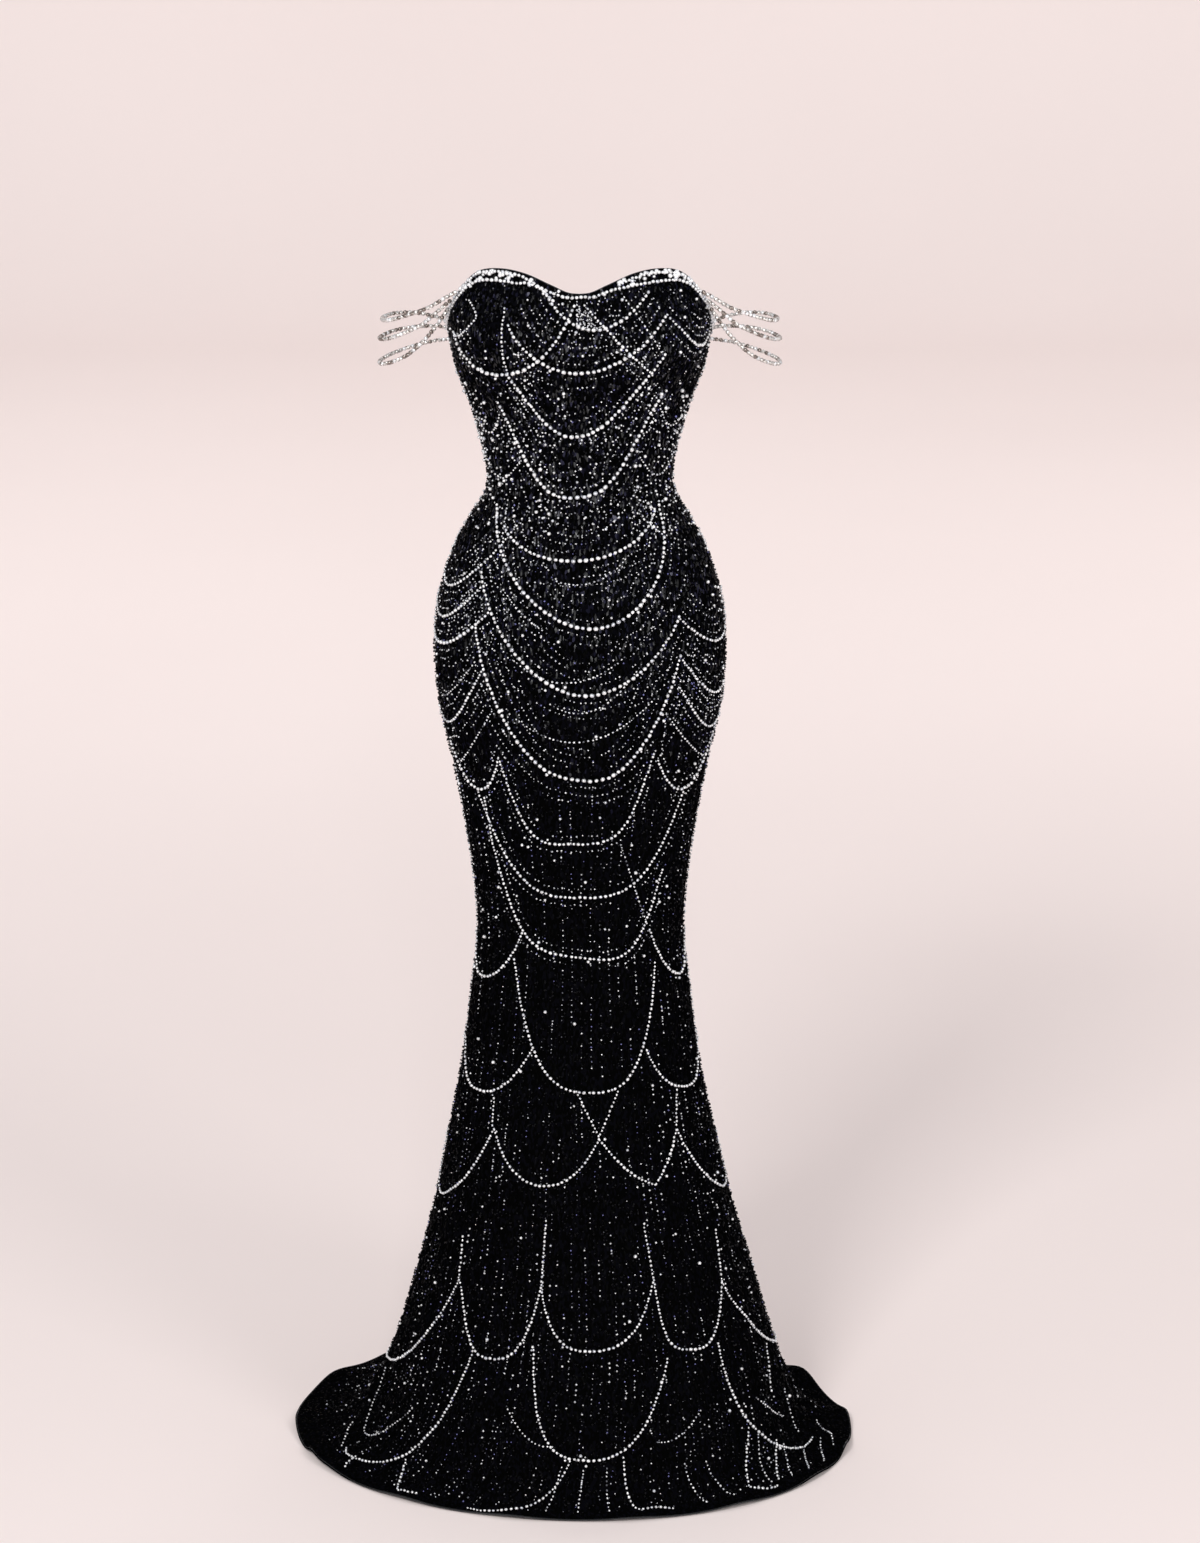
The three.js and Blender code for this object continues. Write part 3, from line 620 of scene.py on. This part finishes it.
# Thin strings of small beads on the front, and the back's for the wearer's left half.
THIN_FRONT = swags_of([
    [-12, 1106, 22, 1130, 16], [-33, 1092, -12, 1042, 4], [-26, 1010, 18, 1017, 28],
    [-12, 960, 24, 1006, 30], [-26, 940, 30, 964, 38], [-80, 1330, -42, 1300, 46],
    [42, 1305, 80, 1335, 42], [-78, 1260, -36, 1240, 34], [36, 1245, 78, 1262, 34],
    [-43, 1004, -72, 950, 12], [-36, 947, -64, 872, 10], [36, 941, 66, 880, 10],
    [-71, 900, -86, 655], [75, 908, 88, 660], [-82, 640, -84, 525], [84, 640, 86, 512],
    [-46, 1186, -36, 1128, 2], [-30, 1186, -40, 1140, 2], [30, 1190, 45, 1150, 2],
    [46, 1190, 34, 1140, 2], [17, 1442, 34, 1372, 2], [-1, 1430, -1, 1400], [-81, 98, -53, 92, 57],
    [-74, 34, -65, 17], [-22, 120, -6, 82, 12], [36, 110, 22, 84, 10], [79, 84, 77, 34],
    [58, 102, 73, 62, 4], [-3, 62, -3, 12], [3, 60, 4, 12], [9, 62, 11, 12], [20, 786, 39, 678, 4],
    [30, 60, 33, 10], [36, 58, 40, 10], [56, 66, 52, 12], [66, 41, 57, 8], [73, 24, 62, 6],
    [79, 16, 69, 5], [91, 22, 77, 6],
])
# Uprights of middling beads over the swags' ends.
UPRIGHTS = swags_of([
    [-51, 1424, -43, 1407, -3], [-43, 1407, -64, 1387, 11], [-31, 1420, -31, 1350],
    [-48, 837, -47, 776], [-2, 486, 8, 430], [18, 484, 8, 430], [-43, 468, -42, 431],
    [50, 474, 46, 431], [-48, 245, -50, 300], [-15, 255, -14, 333], [25, 260, 24, 327],
    [54, 238, 58, 300], [75, 141, 69, 94],
])
# Short strings over the side seams, from a front swag's end to a back one's.
SIDE_JOINS = swags_of([
    [80, 1335, 96, 1352, 5], [78, 1262, 96, 1270, 5], [80, 1028, 96, 1070, 5],
    [80, 966, 96, 925, 5], [80, 926, 96, 925, 8], [85, 656, 96, 640, 2], [84, 510, 96, 520, 3],
    [87, 340, 96, 390, 3], [-80, 1330, -96, 1352, 5], [-78, 1260, -96, 1270, 5],
    [-80, 1090, -96, 1140, 5], [-82, 1054, -96, 1070, 3], [-82, 1024, -96, 1070, 3],
    [-80, 930, -96, 925, 8], [-85, 655, -96, 640, 2], [-80, 520, -96, 520, 5],
    [-86, 350, -96, 390, 3],
])
THIN_BACK = swags_of([
    [100, 1306, 168, 1290, 36], [98, 1210, 170, 1200, 26], [98, 1010, 172, 1000, 44],
    [98, 760, 176, 750, 54], [134, 640, 134, 590], [134, 520, 134, 470], [136, 390, 136, 320],
    [136, 225, 140, 60], [108, 150, 124, 60, 24], [150, 150, 170, 60, 24],
])
# Bare cloth under a threaded bead, and how much longer than wide the bead is.
LIFT = 0.4
STRETCH = 1.12
# Threaded beads: diameter at a string's ends and in its middle, and the bare thread between two.
BIG_BEAD = {"end": 3.9, "middle": 5.5, "spare": 1.4}
SKIRT_BEAD = {"end": 3.1, "middle": 4.2, "spare": 1.5}
MIDDLING_BEAD = {"end": 3.1, "middle": 3.5, "spare": 1.6}
SIZE_OF = {"thigh": SKIRT_BEAD, "knee": SKIRT_BEAD, "flare": SKIRT_BEAD}
NECK_BEAD = {"end": 4.2, "middle": 4.8, "spare": 0.5}
THIN_BEAD = {"end": 2.5, "middle": 3.0, "spare": 2.2}
# A string of large beads that spans fewer degrees takes the skirt's beads.
SHORT_SPAN = 42


def swag_line(row, mirrored=False, points=160):
    """Angles and levels along a swag."""
    t = np.linspace(0, 1, points)
    sign = -1 if mirrored else 1
    angle = sign * (row["angle_a"] + (row["angle_b"] - row["angle_a"]) * t)
    level = row["level_a"] + (row["level_b"] - row["level_a"]) * t
    leaned = t ** (math.log(0.5) / math.log(row["low"]))
    return angle, level - row["drop"] * (1 - np.abs(2 * leaned - 1) ** row["full"])


def strung(line, size, sizes=(0.82, 1.12), threads=(0.6, 1.4), growth=1.5):
    """Angle, level and radius of beads threaded one by one along a line on the cloth, each bead and
    each bare thread a drawn share of the usual."""
    angle, level = line
    run = run_of(cloth(angle, level))
    reach, places, radii = 0.0, [], []
    while reach < run[-1] - size["end"] / 2:
        middle = math.sin(math.pi * reach / run[-1]) ** growth
        nominal = size["end"] + (size["middle"] - size["end"]) * middle
        diameter = nominal * rng.uniform(*sizes)
        places.append(reach + diameter / 2)
        radii.append(diameter / 2)
        reach += diameter + size["spare"] * rng.uniform(*threads)
    places = np.array(places)
    return np.interp(places, run, angle), np.interp(places, run, level), np.array(radii)


def string_set(name, lines, size, template, materials, odds, replaced=(), stray=0.25, lean=0.2):
    """All the strings of a zone as one mesh of beads lying on the cloth."""
    parts = []
    for line in lines:
        short = size is BIG_BEAD and np.ptp(line[0]) < SHORT_SPAN
        angle, level, radius = strung(line, SKIRT_BEAD if short else size)
        centres = cloth(angle, level) + outward(angle, level) * (radius / STRETCH + LIFT)[:, None]
        parts.append((centres, np.gradient(centres, axis=0), radius))
    centres, axes, radius = (np.concatenate(column) for column in zip(*parts))
    centres += rng.normal(0, stray, centres.shape)
    axes = unit(axes) + rng.normal(0, lean, axes.shape)
    kinds = rng.choice(len(materials), len(radius), p=odds)
    piece = beads(name, template, centres, radius / STRETCH, axes, materials, kinds=kinds,
                  stretch=STRETCH)
    if replaced:
        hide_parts(*replaced)


def nodes_like(prefix):
    return [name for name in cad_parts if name.startswith(prefix)]


def make_swags():
    fronts = [(f"{zone}_front", zone, swags, False) for zone, swags in FRONT_SWAGS.items()]
    backs = [(f"{zone}_back_{side}", zone, swags, side == "right")
             for zone, swags in BACK_SWAGS.items() for side in ("left", "right")]
    for place, zone, swags, mirrored in fronts + backs:
        lines = [swag_line(row, mirrored) for row in rows_of(swags)]
        string_set(f"beads_{place}", lines, SIZE_OF.get(zone, BIG_BEAD), BIG_BALL, *BRIGHT,
                   nodes_like(f"swags_{place}"))
    for name, swags, size in (("hem_strings", HEM_SWAGS, SKIRT_BEAD),
                              ("uprights", UPRIGHTS, MIDDLING_BEAD),
                              ("side_joins", SIDE_JOINS, MIDDLING_BEAD)):
        string_set(name, [swag_line(row) for row in rows_of(swags)], size, SMALL_BALL, *BRIGHT)
    thin = [swag_line(row) for row in rows_of(THIN_FRONT)]
    thin += [swag_line(row, mirrored) for row in rows_of(THIN_BACK) for mirrored in (False, True)]
    string_set("thin_strings", thin, THIN_BEAD, SMALL_BALL, [SILVER, SEED, DIM], [0.55, 0.3, 0.15])


# Neckline: how far below the edge each string lies, from its first angle to its last
NECK_LINES = {
    "front": (
        table("angle drop", [[-88, 5], [-60, 4], [-31, 3.4], [-25, 4], [-17, 8], [-9, 7], [0, 3.6],
                             [9, 6], [15, 8], [22, 12], [31, 14], [45, 12], [60, 9], [88, 12]]),
        table("angle drop", [[-88, 12], [-60, 11], [-36, 13], [-28, 13], [-21, 9], [-17, 9],
                             [-13, 13], [-10, 17]]),
        table("angle drop", [[18, 5], [30, 4], [45, 4], [60, 4], [88, 5]]),
    ),
    "back_left": (
        table("angle drop", [[92, 5], [130, 6], [172, 5]]),
        table("angle drop", [[92, 12], [120, 10], [145, 13], [172, 11]]),
    ),
}
NECK_LINES["back_right"] = [{"angle": -line["angle"], "drop": line["drop"]}
                            for line in NECK_LINES["back_left"]]
NECK_POINTS = 260
# Loose pearls crowded on both cups' edges, and a fan of small beads under the neckline's dip.
PEARLS = {"count": 42, "angle": 40, "spread": 14, "drop": 3, "drop_spread": 5.5, "least_drop": 2}
FAN = {"count": 75, "angle": -1, "width": 12, "level": 1430, "height": 32}


def make_neck_strings():
    for name, tables in NECK_LINES.items():
        lines = []
        for line in tables:
            angle = np.linspace(line["angle"][0], line["angle"][-1], NECK_POINTS)
            drop = smooth_curve(angle, line["angle"], line["drop"])
            lines.append((angle, top_level(angle) - drop))
        string_set(f"neck_beads_{name}", lines, NECK_BEAD, BIG_BALL, *BRIGHT,
                   [f"neck_string_{name}"])
    angle = np.concatenate([rng.normal(side * PEARLS["angle"], PEARLS["spread"], PEARLS["count"])
                            for side in (-1, 1)])
    drop = np.abs(rng.normal(PEARLS["drop"], PEARLS["drop_spread"], len(angle)))
    level = top_level(angle) - drop - PEARLS["least_drop"]
    sew("neck_pearls", (angle, level), 3.2, 5.8, BIG_BALL, *BRIGHT, clear=1.5)
    down = np.sqrt(rng.uniform(0, 1, FAN["count"]))
    angle = FAN["angle"] + FAN["width"] * down * rng.uniform(0, 1, len(down))
    places = angle, FAN["level"] - FAN["height"] * down
    sew("centre_cluster", places, 1.6, 2.5, SEED_BALL, [SILVER, SEED], [0.7, 0.3])


# Loose beads sewn on the cloth
HEM_CLEAR = 2
DM2 = 1e4


def off_sides(places, share, side_angle=84, width=18):
    """The places without a share of those at the sides, where the rows lie closest together."""
    angle, level = places
    at_side = bell(np.abs(wrapped(angle)) - side_angle, width)
    keep = rng.uniform(0, 1, len(angle)) > share * at_side
    return angle[keep], level[keep]


def on_panels(angle, level, clear):
    """Which places lie on the cloth, "clear" of its top edge and its hem."""
    return (level > clear + HEM_CLEAR) & (level < top_level(angle) - clear)


def spacing_steps(level, angle=30, step=2, highest=1485):
    """Millimetres of cloth for each degree and for each unit of level, at one angle."""
    level = np.asarray(level, float)
    high = np.minimum(level + step, highest)
    low = np.maximum(level - step, 0)
    down = lengths(cloth(angle, high) - cloth(angle, low)) / (high - low)
    return degree_width(angle, level), down


def scattered(bottom, top, per_dm2, band=15):
    """Random places between two levels, with about "per_dm2" to a square decimetre."""
    edges = np.linspace(bottom, top, max(2, round((top - bottom) / band)) + 1)
    angles, levels = [], []
    for low, high in zip(edges[:-1], edges[1:]):
        across, down = spacing_steps((low + high) / 2)
        area = across * 360 * down * (high - low)
        count = rng.poisson(area * per_dm2 / DM2)
        angles.append(rng.uniform(-180, 180, count))
        levels.append(rng.uniform(low, high, count))
    return np.concatenate(angles), np.concatenate(levels)


def in_runs(count, keep, length=7):
    """Which beads of a row are there: rows come and go in runs."""
    waves = np.convolve(rng.normal(0, 1, count + 2 * length), np.ones(length) / length**0.5, "same")
    return waves[length:length + count] < np.quantile(waves, keep)


def garland_rows(swags, mirrored, inner, outer, least_span=26, growth=0.07, apart=9.5, pitch=6.0,
                 keep=0.78, stray=0.25, across=0.6):
    """Rows of loose beads that follow each swag, "inner" rows above it and "outer" below. Each next
    row is wider by "growth", and beads stray along it and "across" it."""
    angles, levels = [], []
    for row in rows_of(swags):
        if abs(row["angle_b"] - row["angle_a"]) < least_span:
            continue
        middle = (row["angle_a"] + row["angle_b"]) / 2
        for step in [*range(-inner, 0), *range(1, outer + 1)]:
            angle, level = swag_line(row, mirrored)
            grow = 1 + growth * step
            centre = -middle if mirrored else middle
            angle = centre + (angle - centre) * grow
            level = level - step * apart
            run = run_of(cloth(angle, level))
            at = np.arange(pitch / 2, run[-1], pitch)
            at = at[in_runs(len(at), keep)]
            at = at + rng.uniform(-stray, stray, len(at)) * pitch
            angles.append(np.interp(at, run, angle))
            levels.append(np.interp(at, run, level) + rng.normal(0, across, len(at)))
    return np.concatenate(angles), np.concatenate(levels)


def upright_rows(top, spread, bottom, apart_degrees, shift, pitch, keep, wander=0.12, step=0.4,
                 stray=0.35):
    """Dotted rows that run down the cloth at fixed angles, from "top" give or take "spread"."""
    angles, levels = [], []
    for angle in np.arange(-180 + shift, 180, apart_degrees):
        high = float(top + rng.uniform(-1, 1) * spread)
        level = np.arange(high, bottom, -step)
        run = run_of(cloth(np.full(len(level), angle), level))
        at = np.arange(rng.uniform(0, pitch), run[-1], pitch)
        at = at[in_runs(len(at), keep)]
        at = at + rng.uniform(-stray, stray, len(at)) * pitch
        angles.append(angle + rng.normal(0, wander, len(at)))
        levels.append(np.interp(at, run, level))
    return np.concatenate(angles), np.concatenate(levels)


def sew(name, places, least, most, template, materials, odds, clear=5, lift=0.15, sunk=0.7,
        lean=0.35):
    """Loose beads of diameters from "least" to "most", sewn flat on the cloth."""
    angle, level = places
    keep = on_panels(angle, level, clear)
    angle, level = angle[keep], level[keep]
    out = outward(angle, level)
    radius = rng.uniform(least, most, len(angle)) / 2
    centres = cloth(angle, level) + out * (radius * sunk + lift)[:, None]
    axes = out + rng.normal(0, lean, out.shape)
    kinds = rng.choice(len(materials), len(angle), p=odds)
    beads(name, template, centres, radius, axes, materials, kinds=kinds)


# Kinds of loose beads and how they are mixed.
SORTS = [SILVER, SEED, DIM, VIOLET, JET]
MIXES = {
    "dim": [0.08, 0.14, 0.28, 0.09, 0.41], "rows": [0.44, 0.32, 0.15, 0.05, 0.04],
    "bright": [0.60, 0.25, 0.08, 0.05, 0.02], "faint": [0.12, 0.20, 0.36, 0.17, 0.15],
}
# Scattered beads: bottom, top, beads to a square decimetre, and the share left out at the sides.
SEEDS = {"bodice": (1200, 1470, 60, 0.5), "hip": (1020, 1200, 42, 0.5),
         "thigh": (640, 1020, 18, 0.5), "flare": (130, 640, 4, 0.8), "train": (14, 130, 2, 0.8)}
# Rows beside the swags: how many above each and how many below.
GARLANDS = {"bodice": (3, 2), "hip": (4, 3), "thigh": (1, 1)}
# Dotted rows down the skirt: highest level and its spread, shift and pitch of the rows, share kept,
# least and greatest bead, and how they are mixed.
DOTTED_ROWS = {
    "skirt": (960, 60, 0.6, 7.0, 0.42, 1.5, 2.6, "faint"),
    "skirt_bright": (900, 60, 0.6, 8.0, 0.14, 2.2, 3.0, "bright"),
    "flare": (420, 70, 3.1, 6.5, 0.36, 1.4, 2.3, "faint"),
    "flare_bright": (440, 70, 3.1, 8.0, 0.1, 2.6, 3.6, "bright"),
    "train": (110, 30, 1.85, 7.0, 0.16, 1.6, 2.6, "rows"),
}
DOTTED_APART, DOTTED_BOTTOM, DOTTED_OFF_SIDES = 5.0, 10, 0.75
# Crystals: bottom, top, beads to a square decimetre, least and greatest.
CRYSTALS = {"waist_crystals": (1150, 1330, 13, 3.2, 5.4), "crystals": (640, 1440, 3.5, 3.0, 4.8),
            "skirt_crystals": (30, 640, 1.5, 3.0, 5.0)}


def make_loose_beads():
    for zone, (bottom, top, per_dm2, share) in SEEDS.items():
        sew(f"{zone}_seeds", off_sides(scattered(bottom, top, per_dm2), share), 1.4, 2.4,
            SEED_BALL, SORTS, MIXES["dim"])
    for zone, (inner, outer) in GARLANDS.items():
        for name, swags, mirrored in (
            (zone, FRONT_SWAGS[zone], False), (f"{zone}_left", BACK_SWAGS[zone], False),
            (f"{zone}_right", BACK_SWAGS[zone], True),
        ):
            places = off_sides(garland_rows(swags, mirrored, inner, outer), 0.5)
            sew(f"{name}_rows", places, 1.6, 3.0, SEED_BALL, SORTS, MIXES["rows"])
    places = upright_rows(1300, 30, bottom=1150, apart_degrees=4.2, shift=1.1, pitch=8.5,
                          keep=0.6, wander=0.8)
    sew("waist_columns", places, 2.2, 3.8, SEED_BALL, SORTS, MIXES["bright"])
    for name, (top, spread, shift, pitch, keep, least, most, mix) in DOTTED_ROWS.items():
        places = upright_rows(top, spread, DOTTED_BOTTOM, DOTTED_APART, shift, pitch, keep)
        places = off_sides(places, DOTTED_OFF_SIDES)
        sew(f"{name}_columns", places, least, most, SEED_BALL, SORTS, MIXES[mix])
    for name, (bottom, top, per_dm2, least, most) in CRYSTALS.items():
        sew(name, scattered(bottom, top, per_dm2), least, most, SMALL_BALL, *BRIGHT)
    sew("jet", scattered(12, 1470, 120), 2.0, 3.4, SEED_BALL, [JET], [1.0], lift=0.0)


EDGE_SIDES = 6
EDGES = {"hem": (lambda angle: np.full(len(angle), 0.6), 1.1), "neck": (top_level, 1.0)}


def make_binding():
    """Narrow rolled edges of plain black along the hem and the neck."""
    angle = np.linspace(-180, 180, 361)[:-1]
    count = len(angle)
    turns = (np.arange(EDGE_SIDES) * 2 * np.pi / EDGE_SIDES)[None, :, None]
    for name, (level_at, radius) in EDGES.items():
        level = level_at(angle)
        centre = cloth(angle, level, -THICKNESS / 2)
        out = facing(ring, angle, level)
        along = unit(np.roll(centre, -1, axis=0) - np.roll(centre, 1, axis=0))
        up = np.cross(out, along)
        spokes = out[:, None] * np.cos(turns) + up[:, None] * np.sin(turns)
        points = (centre[:, None] + radius * spokes).reshape(-1, 3)
        index = np.arange(count * EDGE_SIDES).reshape(count, EDGE_SIDES)
        after = np.roll(index, -1, axis=0)
        quads = np.stack([index, np.roll(index, -1, 1), np.roll(after, -1, 1), after], -1)
        new_piece(f"{name}_edge", points, quads.reshape(-1, 4), [BINDING])


# Off-shoulder strands, three a side: each one's end on the front and on the back of the bodice, as
# angle, level and distance from the cloth, and its way as x, y and height over the floor.
STRANDS = {
    "upper": ((58, 1432, 7.6), (118, 1363, 7.7), [
        (150, -65, 1427), (172, -58, 1413), (196, -44, 1402), (216, -24, 1393), (227, 2, 1388),
        (227, 28, 1387), (214, 52, 1387), (190, 64, 1385), (160, 64, 1377),
    ]),
    "middle": ((63, 1421, 7), (124, 1360, 7.5), [
        (160, -58, 1410), (180, -50, 1392), (201, -38, 1380), (220, -18, 1370), (231, 8, 1365),
        (229, 34, 1364), (214, 58, 1366), (188, 70, 1368), (158, 71, 1367),
    ]),
    "lower": ((67, 1411, 5.6), (130, 1356, 7), [
        (162, -53, 1393), (178, -47, 1373), (198, -36, 1354), (218, -18, 1342), (231, 8, 1336),
        (230, 36, 1336), (213, 62, 1340), (184, 76, 1347), (152, 78, 1352),
    ]),
}
STRAND_BEAD = 5.4
STRAND_BEAD_SIZE = (0.96, 1.0)
# Shares of strand beads, silver beads and the darker painted-shade copies of the strand beads.
STRAND_ODDS = [0.5, 0.2, 0.3]
# Small beads round the thread between two of a strand's beads.
SPACER = {"radius": 1.1, "off_axis": 1.5, "count": 3}


def through(corners, steps=40):
    """Centripetal Catmull-Rom curve through the corners."""
    corners = np.asarray(corners, float)
    padded = np.vstack([2 * corners[0] - corners[1], corners, 2 * corners[-1] - corners[-2]])
    points = []
    for k in range(len(corners) - 1):
        p0, p1, p2, p3 = padded[k:k + 4]
        spans = ((p0, p1), (p1, p2), (p2, p3))
        d0, d1, d2 = (max(np.sum((b - a) ** 2) ** 0.25, 1e-4) for a, b in spans)
        m1 = ((p1 - p0) / d0 - (p2 - p0) / (d0 + d1) + (p2 - p1) / d1) * d1
        m2 = ((p2 - p1) / d1 - (p3 - p1) / (d1 + d2) + (p3 - p2) / d2) * d1
        t = np.linspace(0, 1, steps, endpoint=k == len(corners) - 2)[:, None]
        points.append((2 * p1 - 2 * p2 + m1 + m2) * t**3 + (3 * p2 - 3 * p1 - 2 * m1 - m2) * t**2
                      + m1 * t + p1)
    return np.vstack(points)


def at_run(reach, run, curve):
    """Points of a curve at distances along it."""
    return np.stack([np.interp(reach, run, curve[:, k]) for k in range(3)], -1)


def make_strand(name, front, back, way, side):
    ends = [cloth(side * angle, level, out) for angle, level, out in (front, back)]
    way = [(side * x, y, height - WAIST_HEIGHT) for x, y, height in way]
    curve = through([ends[0], *way, ends[1]])
    run = run_of(curve)
    count = int(run[-1] // STRAND_BEAD)
    pitch = run[-1] / count
    at = (np.arange(count) + 0.5) * run[-1] / count
    centres = at_run(at, run, curve)
    along = (at_run(np.minimum(at + 1, run[-1]), run, curve)
             - at_run(np.maximum(at - 1, 0), run, curve))
    radius = rng.uniform(*STRAND_BEAD_SIZE, count) * pitch / 2
    kinds = rng.choice(len(STRAND_ODDS), count, p=STRAND_ODDS)
    piece = beads(f"beads_{name}", BIG_BALL, centres, radius, along, [STRAND, SILVER, STRAND_PAINTED_SHADE],
                  kinds=kinds)
    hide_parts(name)
    joints = at_run(np.repeat(at[1:] - pitch / 2, SPACER["count"]), run, curve)
    around = np.cross(np.repeat(along[1:], SPACER["count"], 0), rng.normal(0, 1, joints.shape))
    around *= SPACER["off_axis"] / lengths(around)[:, None]
    # Spacers, half of them in the darker painted-shade copy of the strand beads.
    beads(f"spacers_{name}", SMALL_BALL, joints + around, np.full(len(joints), SPACER["radius"]),
          around, [STRAND, STRAND_PAINTED_SHADE], kinds=rng.choice(2, len(joints), p=[0.5, 0.5]))


def make_strands():
    for place, strand in STRANDS.items():
        for side_name, side in (("left", 1), ("right", -1)):
            make_strand(f"strand_{place}_{side_name}", *strand, side)


# Zip: its tape inside the back panels, the coil of its teeth, and the slider and its tab
def make_zip(end=1010, tape_inset=2.5, tape_thickness=0.8, tape_degrees=6, tape_rows=90,
             tooth_radius=0.75, tooth_pitch=1.6, tooth_degrees=0.35, tooth_inset=THICKNESS + 0.1):
    angles = np.linspace(180 - tape_degrees, 180 + tape_degrees, 7)
    rows = np.linspace(top_level(180.0) - 5, end, tape_rows)
    grid = np.repeat(angles[:, None], len(rows), axis=1)
    levels = np.repeat(rows[None], len(angles), 0)
    vertices, faces, outer = shell(grid, levels, tape_thickness, tape_inset)
    piece = new_piece("cloth_zip_tape", vertices, faces, [TAPE])
    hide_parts("zip_tape")
    level = np.arange(top_level(180.0) - 8, end + 4, -tooth_pitch)
    side = np.where(np.arange(len(level)) % 2 == 0, 1, -1)
    angle = 180 + side * tooth_degrees
    out = outward(angle, level)
    centres = cloth(angle, level) - out * tooth_inset
    radius = np.full(len(level), tooth_radius)
    beads("zip_coil", SMALL_BALL, centres, radius, out, [BINDING])
    for node in ("zip_slider", "pull_tab"):
        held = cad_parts[node].data.materials
        held.clear()
        held.append(METAL)


# Floor and light, in metres
WORLD = {"color": (0.95, 0.96, 1.0, 1.0), "strength": 0.45}
# Lights: name, place, target, width, height and watts.
LIGHTS = [
    ("key", (-1.6, -3.9, 2.6), (0, 0, 0), 1.2, 1.2, 125),
    ("fill", (2.8, -3.2, 1.0), (0, 0, -0.6), 1.4, 1.8, 52),
    ("front", (0.2, -4.6, 1.4), (0, 0, -0.8), 0.4, 0.4, 42),
    ("wall_left", (-2.9, 3.4, 3.2), (-1.4, 7.4, -0.9), 2.4, 2.4, 88),
    ("wall_right", (2.9, 3.4, 3.2), (1.4, 7.4, -0.9), 2.4, 2.4, 88),
]


def make_sweep(wall_y=8.8, radius=1.6, half_width=14.0, front=-14.0, wall_top=9.0,
               below_hem=0.0012, steps=24):
    """Floor that runs back and curves up into the wall."""
    start = wall_y - radius
    profile = [(front, 0.0), (start, 0.0)]
    profile += [(start + radius * math.sin(t), radius * (1 - math.cos(t)))
                for t in np.linspace(0, math.pi / 2, steps)]
    profile.append((wall_y, wall_top))
    level = -WAIST_HEIGHT * MM - below_hem
    points = [(side * half_width, y, level + z) for side in (-1, 1) for y, z in profile]
    count = len(profile)
    faces = [(k, k + count, k + count + 1, k + 1) for k in range(count - 1)]
    mesh = bpy.data.meshes.new("floor")
    mesh.from_pydata(points, [], faces)
    mesh.polygons.foreach_set("use_smooth", [True] * len(faces))
    floor = new_object("floor", mesh)
    m = Nodes("floor")
    tone = m.ramp(m.noise(scale=0.6).outputs["Fac"],
                  [(0.3, (0.92, 0.815, 0.785)), (0.7, (0.94, 0.835, 0.805))])
    m.feed(Base_Color=tone)
    m.put(m.shader, Roughness=0.9, Specular_IOR_Level=0.1)
    mesh.materials.append(m.material)


def make_lights():
    world = bpy.data.worlds.new("studio")
    world.use_nodes = True
    background = world.node_tree.nodes["Background"]
    background.inputs["Color"].default_value = WORLD["color"]
    background.inputs["Strength"].default_value = WORLD["strength"]
    bpy.context.scene.world = world
    for name, place, target, width, height, watts in LIGHTS:
        data = bpy.data.lights.new(name, "AREA")
        data.shape = "RECTANGLE"
        data.size, data.size_y, data.energy = width, height, watts
        light = new_object(name, data)
        light.location = place
        toward = Vector(target) - Vector(place)
        light.rotation_euler = toward.to_track_quat("-Z", "Y").to_euler()
    bpy.context.scene.view_settings.view_transform = "Standard"


make_camera()
make_strands()
make_panels()
make_swags()
make_neck_strings()
make_loose_beads()
make_binding()
make_zip()
make_sweep()
make_lights()
